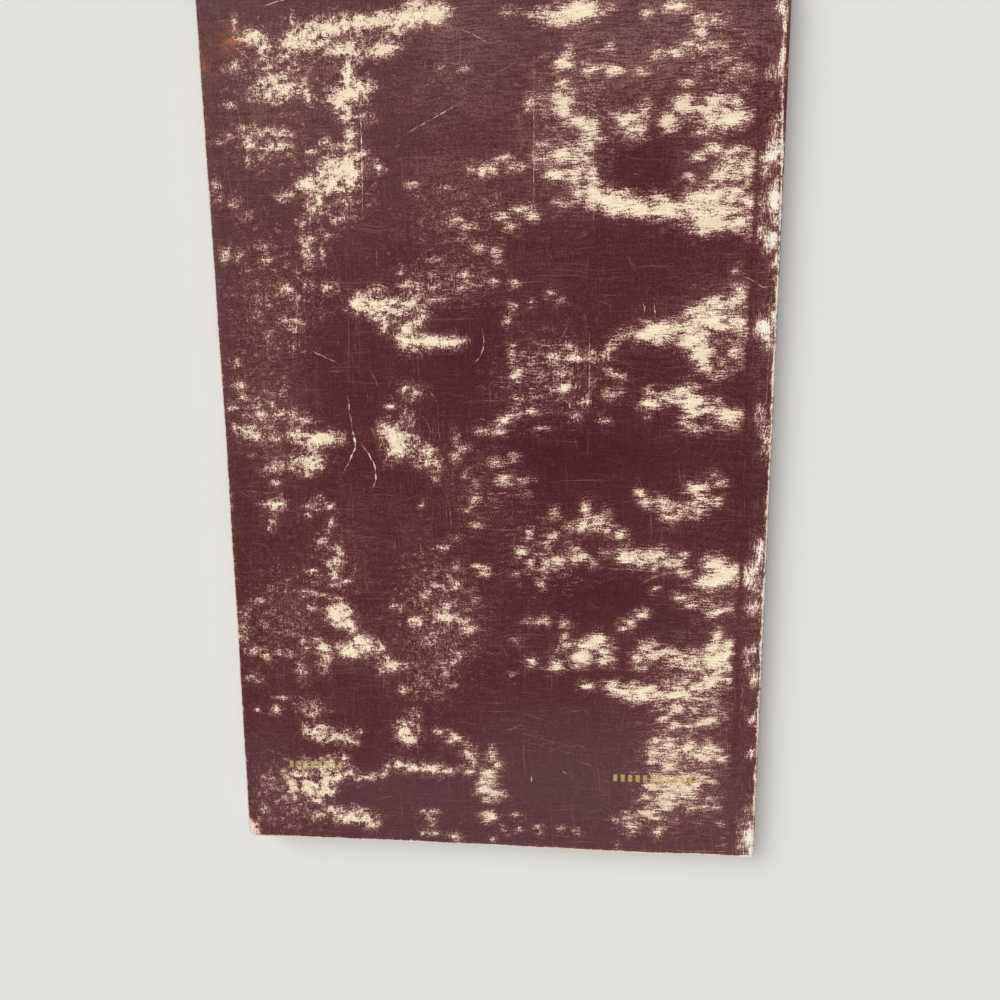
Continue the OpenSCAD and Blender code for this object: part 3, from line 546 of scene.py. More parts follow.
tail_scuffs = [
    (-37, -52, 2.7, 1.9, 1), (-32.6, -51, 2.5, 1.7, 1), (-29, -51, 1.6, 1.4, .75), (-43.4, -51.6, 2.2, 1.2, .95),
    (-43.4, -53.8, 1.2, 1.4, .85), (-44, -56.7, 1.1, .9, .88), (-40, -50.5, 1.5, .8, .7), (-48.6, -52, 1.2, 1, .55),
    (-52.6, -53.4, 2, 1, .5), (-26.4, -55.6, 2.6, 1.4, 1), (-22.6, -56, 2.2, 1, .62), (-28, -53.4, 1.8, .9, .7),
    (-10.6, -54.6, 1.4, .8, .78), (-14, -54.6, 2.4, .6, .48), (-12.4, -57.6, 1.1, 1.6, .65),
    (-18.6, -60.6, 2.6, .8, .48), (-23, -62, 1.8, 1.4, .55), (-8.6, -52.3, 2, 1.3, .62),
    (-14.6, -62.5, 1.8, 1.3, .4), (-10, -60.5, 1, .6, .6), (-57.4, -68.5, 1.2, .7, .85),
    (-47.6, -69, 1.4, 1.2, .72), (-61.6, -60.4, .9, .5, .82), (-64, -59.6, 1.4, .6, .65), (-55, -65, 2.4, .5, .6),
    (-62.4, -68.7, .7, .5, .6), (-49.6, -73, .7, 1.2, .75), (-47.6, -74.9, 2.3, .9, .88),
    (-45, -76.2, 2.6, .8, .85), (-41, -75.5, 2.4, .9, .95), (-37.8, -76.2, 1.8, 1.4, .92),
    (-38.6, -74, .7, 1.2, .6), (-42, -74, .6, 1.2, .6), (-35.6, -74.4, 1.2, .5, .65, 20),
    (-23.6, -73.8, 2.2, 1.6, 1), (-21.6, -75.6, 1.7, 1.3, 1), (-19.6, -73, 1.2, .6, .75), (-23, -71.6, 2, 1.2, .75),
    (-13.4, -73.4, 1.8, .6, .9, -14), (-10, -74.8, 2, .7, .88, -24), (-6.8, -76.6, 1.8, .8, .7, -10),
    (-11.5, -76, 1.2, .6, .55), (-6.6, -79.2, 2, 1, .85, -6), (-5.2, -81.2, .9, 1.8, .8), (-6.4, -84, 1.4, .6, .85),
    (-8.5, -82.8, 1.2, .8, .55), (-39.4, -82, 1, 2.2, .75), (-38, -85.6, .9, 1.2, .75, 40),
    (-36.4, -87.4, 1, .5, .7, -40), (-32.6, -86.4, 2.2, .6, .88, 10), (-29, -85.4, 1.4, .5, .8, 30),
    (-24.8, -82.8, 2.4, 1.2, .9), (-22, -83.6, 2.2, .9, .95, -12), (-16.2, -83.6, 3, 1.1, 1),
    (-12.2, -84.2, 1.8, .6, .85, -16), (-28.2, -83.6, 1, 1, .65), (-46, -83.6, 6.4, 1.6, .7),
    (-43.6, -81.8, 2, .6, .65), (-48.8, -90.4, 2.6, 2, 1), (-45.4, -91, 2.5, 1.6, 1), (-50.6, -88.6, 1.4, 1.1, .9),
    (-45.6, -88.4, 2.2, 1, .8), (-42.4, -88, 1.7, .9, .8, 20), (-53.8, -89.8, 1.5, 3, .86),
    (-53.6, -93.4, 1.3, 1.1, .75), (-55.4, -86.6, 2.2, 1.1, .62), (-60.6, -89.6, 2.4, 2, .5),
    (-47.5, -94, 2, 1, .6), (-40.6, -86.4, 1.4, .8, .65), (-47, -98, 2, 1.4, .66), (-39, -98.4, 3.6, 1.4, 1),
    (-37.4, -96.4, 2.4, .9, .85), (-33.4, -99.4, 2.2, 1.3, .95, -14), (-42.4, -96.4, 2.6, 1.2, .85),
    (-33.4, -101, 1.4, .6, .8), (-31, -97.9, 1.2, .6, .65), (-48.4, -99.6, 1.2, .6, .45), (-16, -96, 1.7, .7, .72),
    (-16, -98.2, 1, 1.1, .66), (-19.4, -95.9, 1.2, .4, .7), (-18, -98, .8, 1, .42), (-15.6, -102, 2.2, .5, .66),
    (-10.4, -102.7, 1.7, .7, .88, -8), (-18.4, -101.8, .8, .5, .7), (-1.8, -84.4, 2, 1.2, .95),
    (-2.4, -86.6, 2.2, 1.2, .8), (-2.4, -89, 2.4, 1.2, .95), (-.6, -79, 1, 2.2, .75), (-1.4, -96.4, 2.2, 1.4, .82),
    (-2, -91.6, 1.4, .9, .65), (-62, -97, 1.6, 2, .5), (-.5, -103, .8, .5, .7), (-66.3, -102.9, 1.6, 2.6, 1.15, 12),
    (22.6, -52, 3, 1.8, 1), (28, -53, 2.2, 1.1, .88), (21, -53.8, 1.7, .8, .8), (28, -51, 1.6, 1, .75),
    (28.6, -49.2, 1.6, 1.2, .78), (10, -53.6, 1.4, .8, .8), (16, -55, 2, 1.1, .73), (15.6, -53.4, 1.4, .8, .6),
    (4.5, -57.5, 1, 1, .45), (36.6, -52, 2.2, 1.4, .72), (40, -51.4, 1.6, 1, .75), (44, -50.6, 3, 1.3, .8),
    (47.8, -52.7, 4.8, 1.4, .74), (50, -50.6, 4, .9, .58), (54.8, -52.6, 3, 2, 1), (50, -54.4, 4, .7, .66),
    (58.6, -54, 1, 1.6, .65), (54.6, -57.5, 3, 1.7, .93, 14), (51.4, -59.2, 3.2, 1, .9), (47.4, -58, 2.2, .8, .6),
    (58.6, -57.4, 1, 1.2, .65), (56, -55, 1.6, .8, .75), (24, -59.8, 1.6, .6, .92), (29.6, -59.4, 2, .8, .9),
    (32.6, -61, 3.5, 1.3, .95, -8), (36.4, -60.6, 2.4, 1.1, .95), (35.4, -62.8, 2, .7, .88),
    (40, -60.4, 2.6, 1.2, .9), (46.4, -61.5, 4.2, 1.3, .88), (52, -61.8, 2.4, 1, .75), (55, -63, 2, .8, .42),
    (46, -65, 2, 1.8, .85), (42, -64.6, 1.6, .6, .58, -20), (43, -68.3, 1.2, .8, .8), (45.6, -69.6, 2.2, 1, .85),
    (53.8, -68.2, 3.4, .9, .95, 16), (50.4, -65, 2, 1.2, .65), (55.6, -64.8, 1.8, .7, .5),
    (49.4, -69.4, 1.2, .6, .75), (58, -66.5, .8, .6, .7), (41, -73.8, 1.7, .8, .95), (41, -77, 2, 1.3, .8),
    (45, -73.5, 2.2, 1, .72), (45, -77.4, 2.8, 1.6, .82), (49, -75.6, 2.6, 2, .74), (53.6, -75.5, 3, 1.8, .82),
    (53, -78.2, 2.8, 1, .95), (57.2, -78.4, 2, 1.2, .7), (56.6, -76, 1.2, .8, .75), (40.5, -79.3, 1.4, .7, .85),
    (46, -79.7, 2, .6, .7), (45.4, -81, 2.2, .9, .78), (47, -84, 4.8, 1.4, .9), (52.8, -83, 2.2, 1, .64),
    (55.2, -84.3, 1.7, .6, .78), (47, -86.8, 4.6, 1.5, .92), (40.6, -86.4, 2.4, 1.4, .9),
    (39, -89.4, 1.7, .8, .88, 10), (44, -89, 3, 1, .82), (50, -88.4, 3, 1, .78), (55.4, -89.4, 2, 1, .52),
    (52, -91.4, 3.2, 1.1, .68), (56.5, -91, 1.6, .8, .55), (39, -93.5, 2.6, 1.2, .9, 10), (44, -92.1, 3, 1, .82, 8),
    (41.6, -94.6, 3, .6, .72), (36, -97.2, 1.9, 1.6, .72), (35, -99.1, 1.3, .9, .55), (31.4, -96, 1.7, 1, .56, -40),
    (34, -94.5, 1.2, .7, .78), (42, -98.3, 1.7, .9, .8), (42.3, -99.9, .9, .7, .45), (46, -95.3, 1.4, .5, .6),
    (1, -82, 1.2, .9, .95), (.2, -90, 1.5, 1.2, .85), (1.2, -91.8, .7, .5, .55), (0, -86, 1, 1.6, .7),
    (17.4, -99, 1, .7, .6), (11.4, -98.2, .9, .5, .55), (6.4, -99.5, .6, .5, .7), (2.4, -100, .7, .7, .6),
    (12, -100, .6, .5, .6), (32, -102.3, .6, 1.4, .4), (5.5, -95.6, 1.2, .6, .6), (21.5, -99.3, 1.2, 1, .5),
    (58, -96, 1.5, 1.2, .38), (63.6, -97, 1.2, 3, .36), (63, -102.5, 1.4, 1.2, .45), (64.8, -67.5, 1, 1, .76),
    (64.8, -76.4, .9, 1, .8), (65, -55, .8, 1.2, .65), (62.5, -53, 1.2, 1, .5), (66, -103.4, 1.4, 1.4, 1),
    (-43.4, -87, 3.4, 1.6, .86), (-51.6, -86.2, 3, 1.4, .8), (65.2, -98.3, 1.2, 3.2, .85),
    (-45.8, -73.6, 2.2, 1.5, .74), (43.9, -75, 1.8, 1.2, .84), (38.4, -62, 2.4, 1.2, .78),
    (42.4, -83.8, 2.2, 1.6, .7), (41, -61.8, 1.6, 1.3, .9), (56.5, -50.9, 2.6, 1.2, .94),
    (51.6, -85, 1.6, 1.2, .88), (44, -90.6, 3.2, 1, .84), (-49.6, -57.4, 2, 3.4, .44), (44, -80, 1.4, 2, .84),
    (-48, -67.2, 4.6, 2.6, .46), (1.9, -89.6, 1.5, 1.2, .7), (46.6, -59.6, 2.6, .9, .82), (64.6, -57, 1, 2.4, .6),
    (37, -54.4, 2.2, 1.4, .55), (35, -59.6, 1.4, 1.1, .88), (62.4, -98, 2.2, 4.6, .3), (65.8, -100.5, .8, 4, .85),
    (64.4, -92.6, 1.2, 4.6, .34), (58.4, -101, 3.6, 2, .2), (-34, -98.2, 2, 1.3, .86), (-20.3, -68.6, 2, 2.2, .46),
]
# Wide areas that are only speckled, given in the same way.
speckled_areas = [
    (-46, 88, 16, 11, .3), (-50, 70, 12, 6, .27), (-52, 36, 13, 20, .25), (-57, 8, 9, 11, .28),
    (-53, -42, 11, 14, .26), (-55, -92, 12, 12, .3), (-13, -42, 13, 18, .3), (-17, -60, 9, 7, .24),
    (-6, 56, 14, 12, .24), (-9, 40, 12, 7, .3), (-3, -10, 9, 12, .23), (13, 17, 13, 11, .26),
    (14, -26, 12, 10, .26), (20, 76, 12, 20, .28), (52, 83, 12, 12, .28), (53, 28, 9, 10, .26),
    (50, -60, 12, 12, .36), (48, -82, 11, 14, .36), (-40, -30, 8, 14, .24), (-12, 80, 16, 12, .16),
    (56, -35, 8, 9, .26), (-36, 60, 10, 10, .3),
]
# Creases and scratches: how bare, then the points they pass.
creases = [
    (.6, [(-34.8, 13.5), (-34.5, 10.5), (-34.7, 9), (-34.1, 7.5), (-34.2, 6.4), (-34.1, 5)]),
    (1, [(-34.1, 5.6), (-33.6, 2.8), (-33.3, 1.2), (-33.6, -.2), (-34.5, -2), (-35.3, -3.6), (-36.6, -5.6)]),
    (.65, [(-1.6, 28.5), (-1.1, 26), (-1.3, 24), (-2.2, 21.8), (-3.8, 20.2)]),
    (.55, [(-43.9, 24.4), (-42, 23.2), (-39.5, 22.1), (-37.6, 21.2), (-36.4, 20.4)]),
    (.5, [(-29, 19), (-27.8, 17), (-27, 14.8)]), (.6, [(-19.7, 72.2), (-15, 74.4), (-10, 76.8), (-4.6, 79.4)]),
    (.5, [(-6.4, 94.7), (-3.4, 93.4), (0, 91.5), (2, 90.6)]), (.8, [(-29, 79), (-29.1, 70), (-29.4, 55.5)]),
    (.5, [(10.9, 90), (10.8, 75), (10.8, 66), (10.7, 52)]), (.6, [(23.7, 27.5), (23.8, 20), (23.6, 8)]),
    (.5, [(24.2, 70), (24.3, 60), (24.4, 50)]), (.6, [(35.7, 77.6), (36, 72.8)]),
    (.4, [(-63.6, -10.4), (-59.5, -10.8), (-56, -11.2), (-51, -10)]),
    (.5, [(25.4, -28.2), (28, -29.2), (35, -29.6), (40, -30), (47, -30.4), (50.5, -31.6)]),
    (.5, [(57, 40), (60, 38.6), (62.8, 36.8), (66.4, 37.2)]), (.4, [(-4.5, 6.6), (-2, 7.4), (0, 6.4)]),
    (.6, [(-51, 100.8), (-47.5, 101.8), (-44, 102.4)]),
    (.4, [(43.4, -101.4), (44.4, -103.4), (50, -103.7), (58, -103.5), (64.6, -102.8)]),
    (.4, [(44.9, -4.8), (45.6, -7.6), (46.2, -9.6)]), (.4, [(-11.6, -10), (-10.2, -13.6), (-9.8, -20.5)]),
    (.35, [(25.2, 35.8), (30, 35.6)]), (.5, [(39.2, 86), (37.8, 83)]), (.9, [(36.3, 33.2), (36.3, 31.8)]),
    (.8, [(19, 11.4), (19.3, 9.4)]), (.8, [(9.6, -86.8), (9.9, -84.6)]), (.7, [(17.4, -83), (18.8, -83.4)]),
    (.4, [(2, -72.4), (4.4, -72), (6.8, -70.6), (8.2, -70.8)]),
    (1, [(65.1, 104.5), (65.2, 85), (65.7, 70), (66.2, 56), (66.3, 45), (66.3, -50), (66.3, -90), (66.2, -104.5)]),
]
# Those that cross or come close to one of the others.
scratches = [
    (.85, [(-31.8, 1), (-30.2, -1), (-29, -3.3), (-28.4, -5.3), (-28.6, -8), (-29.7, -10.5)]),
    (.5, [(35.4, -34), (38.5, -32), (41.5, -30.6), (46.5, -30.2)]), (.4, [(-65, 96.4), (-62, 98), (-58, 98.8)]),
    (.35, [(-26.3, 48), (-26.5, 43)]), (.4, [(15.6, 23), (17.6, 27), (19.4, 30)]), (.35, [(25, 34.6), (29.6, 33)]),
    (.35, [(-12.6, 7), (-12.5, 3.8), (-11.8, 1.1)]),
    (.4, [(-17.5, 21.4), (-16.9, 16.6), (-14.1, 13.4), (-12.5, 11), (-12.6, 7.8)]),
    (.4, [(-17.5, 8.6), (-15.5, 7), (-14.5, 4.6), (-15.1, .2)]), (.3, [(-10.9, -12.1), (-11, -16), (-10.8, -19.9)]),
    (.35, [(17, -67.4), (20.4, -66.6), (25.1, -65.9)]), (.35, [(20.4, -75.6), (23.8, -76.1), (27.2, -76.9)]),
    (.4, [(22.2, -80.1), (24.4, -80.9), (27, -82.1)]), (.35, [(-30.1, 14.3), (-29.8, 11.9)]),
    (.35, [(-27.8, 7.9), (-27.5, 5)]), (.9, [(-37.9, 18.9), (-36.9, 18.8)]), (.9, [(38.6, 33), (38.7, 31.6)]),
    (.9, [(12.1, 23.6), (12.5, 24.7)]), (.3, [(1.9, -71.7), (13, -74.4), (25.6, -77.4)]),
    (.28, [(-3.5, -69.9), (4, -71), (12.5, -72.6)]), (.26, [(4.5, -74.5), (13, -76.4), (22.9, -78.6)]),
    (.26, [(6.9, -67.4), (12, -68.9), (17, -70.6)]), (.2, [(59.7, 80), (59.9, 70), (59.5, 62)]),
    (.2, [(61.2, 79), (61.6, 66), (61.5, 56)]), (.4, [(64.9, 44), (65, 30), (64.8, 14), (64.9, 4)]),
    (.3, [(63.4, 38), (63.5, 31)]), (.2, [(62.4, -4), (62, -22)]),
]
# Where the rubbing ran up and down the book; elsewhere it ran across.
upright_areas = [
    (-38, -28, 9, 18, .8), (-36, 72, 8, 16, .6), (-28, 10, 14, 20, .7), (22, 18, 5, 16, .7), (-60, 55, 8, 16, .5),
]
# Unrubbed ink that still has its first deep, slightly purple gloss; ink grazed to a streaky brown;
# a greyish veil of painted sheen, where the glossy ink reflects light at the tail, the head and the fore-edge; and
# two old stains.
glossy_areas = [
    (22, -1, 18, 8, 1), (-5, 23, 8, 11, 1), (27, -36, 16, 6, 1), (44, -44, 8, 5, .8), (62, -12, 4, 12, .9),
    (15, -9, 7, 9, .6), (35, 63, 10, 6, .8), (40, 19, 9, 6, .6), (61, 17, 4, 8, .7), (59, 86, 3, 12, .6),
    (30, 46, 22, 7, .45), (-37, 22, 10, 13, .4), (8, 10, 9, 9, .4), (0, -58, 22, 7, .35), (-30, -14, 12, 14, .2),
]
grazed_areas = [
    (40, 90, 26, 13, .85), (-3, 88, 15, 13, .6), (13, 72, 8, 18, .5), (-46, 80, 20, 24, .35),
    (63.5, 78, 2.6, 26, .7), (63.8, -36, 2.4, 26, .5), (63.6, 20, 2.4, 26, .45), (53, -42, 9, 12, .3),
    (-57, 10, 9, 26, .35), (-8, 62, 12, 8, .4), (52, 62, 10, 12, .5), (52, 28, 10, 10, .4), (-40, -50, 22, 12, .25),
    (48, -76, 10, 20, .4), (-28, -22, 12, 12, .2),
]
# Painted sheen: a greyish veil painted on the ink where its gloss reflects light, most of it at the tail.
painted_sheen_areas = [
    (20, -86, 26, 15, 1), (-20, -93, 26, 10, .9), (-60, -88, 9, 16, .7), (60, -95, 7, 11, .8), (0, -103, 70, 5, .8),
    (-66, 35, 1.6, 34, .7), (36, 94, 26, 8, .5), (0, 96, 14, 9, .4), (8, -70, 16, 6, .4),
]
stains = [(-59, 94, 1.6, 1.2, 1, 10), (-65.4, 88.6, .8, 1.4, .6)]
# Where the bared card has gone tan.
tanned_areas = [
    (47, -84, 10, 12, 1), (40, -94, 6, 4, 1), (43, -49.5, 7, 3, .9), (51, 48.5, 8, 4, .9), (40, 73, 5, 3, 1),
    (49, 78, 6, 4, .8), (18, -28, 6, 3, .8), (-42, -40, 3, 3, .6), (-54.5, -92, 5, 5, .8), (-3.8, -90, 5, 5, .8),
    (54.5, -67.5, 6, 4, .7), (16, 74.5, 5, 5, .7), (-21, 91, 5, 3, .6), (45, -28, 5, 3, .8), (50, 21, 4, 4, .5),
]

edge_steps = [0, 0.12, 0.3, 0.55, 0.9, 1.4, 2.0, 2.8]
before_score = [2.0, 1.5, 1.1, 0.8, 0.55, 0.35, 0.15]
after_score = [0.05, 0.3, 0.6, 1.1, 1.7, 2.3, 2.9, 3.5, 4.0, 4.4]
# Rows of printed blocks: middle and half length. The blocks are even, and so many to the millimetre.
print_rows = [(-47.6, -83.6, 7.5), (40.3, -84.1, 10.2)]
row_half_h = 1.0
blocks_per_mm = 0.53
# The third ink colour is the grey of painted sheen, not a colour of the ink itself.
deep_ink, glossy_ink, painted_sheen_ink = paint(69, 17, 20), paint(60, 4, 20), paint(80, 48, 55)
brushed_ink, grazed_ink, scored_ink = paint(120, 76, 73), paint(160, 120, 111), paint(176, 136, 124)
thin_ink, thinnest_ink = paint(146, 98, 90), paint(222, 187, 170)
cream_card, shaded_card, tan_card = paint(252, 239, 208), paint(233, 205, 175), paint(214, 180, 150)
soiled_rim, fluffed_fold = paint(200, 186, 186), paint(250, 244, 236)
print_yellow, rust = paint(196, 172, 104), paint(184, 106, 68)
inner_card, toned_card, spotted_card = paint(238, 230, 213), paint(220, 204, 175), paint(198, 174, 140)


def rubbed(marks, s, y):
    """How bare the marks leave each point of the card, from 0 to 1; where marks overlap, the barest counts most."""
    total = np.zeros_like(s)
    for x0, y0, half_long, half_wide, bare, *turn in marks:
        angle = math.radians(sum(turn))
        c, d = math.cos(angle), math.sin(angle)
        along, over = (s - x0) * c + (y - y0) * d, (y - y0) * c - (s - x0) * d
        core = (along / half_long) ** 2 + (over / half_wide) ** 2
        rim = (along / (half_long + frayed_rim)) ** 2 + (over / (half_wide + frayed_rim)) ** 2
        total += (bare / (1 + core**1.6)) ** overlap + (rim_share * bare / (1 + rim**2)) ** overlap
    return np.minimum(total ** (1 / overlap), 1)


def crease_field(lines, s, y):
    """Signed distance to the nearest crease, and how bare that crease is, fading out away from it."""
    nearest = side = np.full(s.shape, 9.0)
    bare = np.zeros(s.shape)
    for strength, line in lines:
        steps = [math.dist(a, b) for a, b in zip(line, line[1:])]
        run, whole = 0.0, sum(steps)
        for (ax, ay), (bx, by), length in zip(line, line[1:], steps):
            ux, uy = (bx - ax) / length, (by - ay) / length
            t = np.clip((s - ax) * ux + (y - ay) * uy, 0, length)
            px, py = s - ax - t * ux, y - ay - t * uy
            far = np.hypot(px, py)
            hit = far < nearest
            nearest = np.where(hit, far, nearest)
            side = np.where(hit, far * np.where(ux * py - uy * px < 0, -1, 1), side)
            taper = np.minimum(run + t, whole - run - t) / (taper_share * whole)
            bare = np.where(hit, strength * (thin_end + (1 - thin_end) * np.clip(taper, 0, 1)), bare)
            run += length
    return side, bare * (1 - ease(nearest, 1.3, 2.2))


def uneven(t):
    """Small irregular swing of a worn edge, from about -1 to 1."""
    return 0.5 * np.sin(t / 7.1 + 1.3) + 0.3 * np.sin(t / 2.9 + 0.4) + 0.2 * np.sin(t / 1.1 + 2.1)


def wrap_profile(step):
    """Columns of the half cover from the fore-edge to mid-spine: run along the card, x, z, and tilt of its face."""
    flat = graded(fore_x, score_x - 1.7, step, edge_steps)
    flat = np.concatenate([flat[flat < score_x - 2.4], score_x - np.array(before_score)])
    strip = np.append(score_x + np.array(after_score), strip_end)
    turn = np.linspace(slope, math.pi / 2, 10)[1:]
    rest = np.linspace(fold_z, book_t / 2, 5)[1:]
    arc = strip_end + fold_r * (turn - slope)
    run = np.concatenate([flat, strip, arc, arc[-1] + fold_z - rest])
    x = np.concatenate([flat, strip, fold_x + fold_r * np.sin(turn), np.full(len(rest), spine_x)])
    strip_z = book_t - (strip - score_x) * math.tan(slope)
    z = np.concatenate([np.full(len(flat), book_t), strip_z, fold_z + fold_r * np.cos(turn), rest])
    tilt = np.concatenate([np.zeros(len(flat)), np.full(len(strip), slope), turn, np.full(len(rest), math.pi / 2)])
    return run, x, z, tilt


def half_cover(name, step, lift, r_tail, r_head, flip):
    """Half of the wrapped card as a closed sheet, and the run and height along the card of each outer point."""
    run, x, z, tilt = wrap_profile(step)
    s, y = np.meshgrid(run, graded(tail_y, head_y, step, edge_steps))
    px, pz, turn = (np.broadcast_to(v, s.shape) for v in (x, z, tilt))
    from_fore = 1 - ease(s, fore_x, fore_x + 5)
    from_tail, from_head = 1 - ease(y - tail_y, 0, 4), 1 - ease(head_y - y, 0, 4)
    px = px + from_fore * (corner_inset(y, r_tail, r_head) + fore_nick * (1 + uneven(y)))
    py = y + trim_nick * (1 + uneven(s + 40)) * from_tail - trim_nick * (1 + uneven(s + 90)) * from_head
    groove = groove_d * np.exp(-(((s - score_x + 0.2) / groove_w) ** 2))
    raised = (lift(px, py) if lift else 0) * (1 - ease(s, score_x - 1, score_x)) - groove
    outward = np.stack([np.sin(turn), np.zeros_like(turn), np.cos(turn)], -1)
    outer = np.stack([px, py, pz], -1) + outward * raised[..., None]
    inner = outer - outward * card_t
    if flip:
        outer, inner = (face * (1, 1, -1) + (0, 0, book_t) for face in (outer, inner))
    mesh = sheet_mesh(name, outer, inner, flip)
    laid = np.concatenate([outer.reshape(-1, 3), inner.reshape(-1, 3)]).astype(np.float32)
    mesh.attributes.new("card_place", "FLOAT_VECTOR", "POINT").data.foreach_set("vector", laid.ravel())
    return mesh, s, y


def edge_wear(s, y):
    """Rubbing along the cut edges, and along the fold at the spine."""
    edge = np.minimum(np.minimum(s - fore_x, y - tail_y), head_y - y)
    cut = 1.5 * (1 - ease(edge, 0.1, 0.34)) + 0.25 * np.exp(-((edge / 1.2) ** 2))
    cut = np.maximum(cut, (1.0 + 0.3 * uneven(1.7 * s)) * (1 - ease(y - tail_y, 0.2, 0.7)))
    ridge = spine_x - 0.55 - ease(y, 55, 85)
    chipped = 0.6 + 0.3 * uneven(2.6 * y) + 0.22 * uneven(0.7 * y + 30)
    fold = chipped * np.exp(-(((s - ridge) / 0.55) ** 2)) + 0.35 * np.exp(-(((s - strip_end - 1.6) / 0.8) ** 2))
    return np.maximum(cut, fold)


def worn_print():
    """Maroon offset ink on cream card, rubbed through in fibrous flecks where the card has been handled."""
    f = Finish("worn_print", "card_place")
    wear, gloss, grazed, dull, stain, upright, tanned = map(
        f.attribute, ("wear", "gloss", "grazed", "dull", "stain", "upright", "tanned")
    )
    x, y = f.axis("X"), f.axis("Y")
    swirl = f.cloud((12, 12, 12), 2, 0.5, (3, 3, 3), None, "Color")
    swept = f.node("ShaderNodeVectorMath", {"operation": "MULTIPLY_ADD"}, {0: swirl, 1: (3, 3, 0), 2: f.place})

    def across(length, width, detail, rough, shift=(0, 0, 0)):
        return f.cloud((length, width, width), detail, rough, shift, swept)

    def along(length, width, detail, rough, shift=(0, 0, 0)):
        return f.cloud((width, length, length), detail, rough, shift, swept)

    # Rubbing: flecks and clumps drawn out into streaks; nearer the fore-edge the ink broke off in crisper flakes.
    crisp = f.step(x + 30 * f.cloud((30, 30, 30), 1), 25, -8)
    fleck = f.cloud((0.36, 0.3, 0.3), 3, 0.75)
    clump = f.cloud((3, 1.6, 1.6), 3, 0.55)
    drag, pull = across(2.6, 0.34, 3, 0.6), along(2.6, 0.34, 3, 0.6)
    streak = drag + (pull - drag) * (0.2 + 0.7 * upright)
    smeared = fleck * 0.42 + clump * 0.24 + streak * 0.34
    brush = across(1.5, 0.22, 3, 0.6, (7, 7, 1)).most(along(1.5, 0.22, 3, 0.6, (2, 6, 6)))
    flaked = f.cloud((1.9, 1.5, 1.5), 5, 0.72, (5, 3, 8)) * 0.42 + fleck * 0.28 + (1.04 - brush) * 0.3
    hide = f.step(smeared + (flaked - smeared) * crisp, 0.395, 0.605)
    dust = f.step(f.cloud((0.36, 0.3, 0.3), 3, 0.7, (4, 9, 2)) * 0.7 + streak * 0.3, 0.38, 0.62)
    bare = f.step(wear - hide * (0.77 + 0.13 * crisp), -0.13, 0.535)
    bare = bare.most(0.5 * f.step(wear * 1.1 - dust, -0.06, 0.42) * f.step(wear, 0.7, 0.35))

    # Creases and scratches wander a little and are thick and thin by turns, thickest on the fold.
    wander = f.cloud((1.0, 1.0, 1.0), 5, 0.75) - 0.5
    on_fold = f.step(x, spine_x - 2.0, spine_x - 1.6)
    thick = 0.01 + (0.17 + 0.12 * on_fold) * f.step(f.cloud((1.2, 1.2, 1.2), 2, 0.5, (8, 1, 5)), 0.35, 0.65)

    def broken_line(name):
        strength = f.attribute(name + "_bare")
        off_line = abs(f.attribute(name + "_side") + wander * strength)
        return f.step(off_line - thick * strength, 0.07, -0.04) * strength

    crease = broken_line("crease").most(broken_line("scratch"))
    bare = bare.most(crease)

    # Hairlines up, across and askew, close together in some patches and beside the score.
    haze = f.step(f.cloud((14, 9, 9), 3, 0.5, (7, 2, 1)), 0.38, 0.66)
    fine_up = f.step(along(24, 0.22, 1, 0.4, (3, 1, 0)), 0.66, 0.8)
    fine_over = f.step(across(18, 0.22, 1, 0.4, (0, 5, 2)), 0.64, 0.8)
    scored = f.step(f.cloud((0.22, 9, 9), 2, 0.5, (9, 4, 1)), 0.64, 0.78) * f.step(x, score_x - 3, score_x + 1)
    fine = ((fine_up * 0.3).most(fine_over * 0.35) * haze).most(scored * 0.4)
    for turn, shift in ((0.5, (1, 7, 4)), (-0.35, (8, 2, 6)), (1.2, (4, 3, 9))):
        turned = f.node("ShaderNodeMapping", None, {"Vector": swept, "Rotation": (0, 0, turn)})
        hair = f.step(f.cloud((9, 0.24, 0.24), 1, 0.4, shift, turned), 0.7, 0.8)
        fine = fine.most(hair * f.step(f.cloud((8, 8, 8), 2, 0.5, shift), 0.48, 0.62) * 0.35)

    # The ink, thinned where it is partly gone, and the card under it.
    brushed = across(9, 0.3, 3, 0.6, (1, 4, 6)).most(along(9, 0.3, 3, 0.6, (5, 4, 1)))
    grain = f.cloud((0.5, 0.4, 0.4), 3, 0.7, (6, 1, 3))
    graze = f.step(across(4, 0.34, 4, 0.7, (2, 2, 7)) * 0.6 + grain * 0.4, 0.43, 0.61) * (0.5 + 0.5 * haze)
    ink = f.blend(gloss, deep_ink, glossy_ink)
    # Painted sheen: the ink is lightened towards grey where the glossy cover reflects light.
    ink = f.blend(dull * 0.75, ink, painted_sheen_ink)
    ink = f.blend(f.step(brushed * 0.5 + grain * 0.5, 0.47, 0.68) * (0.48 - 0.3 * gloss), ink, brushed_ink)
    ink = f.blend(graze * grazed * 0.8, ink, grazed_ink)
    ink = f.blend(fine, ink, scored_ink)
    ink = f.blend(f.step(bare, 0.0, 0.45), ink, thin_ink)
    ink = f.blend(f.step(bare, 0.25, 0.75), ink, thinnest_ink)
    card = f.blend(f.step(f.cloud((3, 2, 2), 4, 0.6, (2, 8, 3)), 0.4, 0.7) * 0.6, cream_card, shaded_card)
    fibrous = f.step(fleck * 0.5 + streak * 0.5, 0.46, 0.64)
    card = f.blend(fibrous * (0.4 + 0.3 * tanned), card, tan_card)
    card = f.blend(tanned * 0.35, card, tan_card)
    card = f.blend(f.step(f.margin(), 1.2, 0.5) * 0.65, card, soiled_rim)
    card = f.blend(f.step(x, fluff_from, fluff_full) * 0.6, card, fluffed_fold)
    colour = f.blend(f.step(bare, 0.6, 1.0), ink, card)

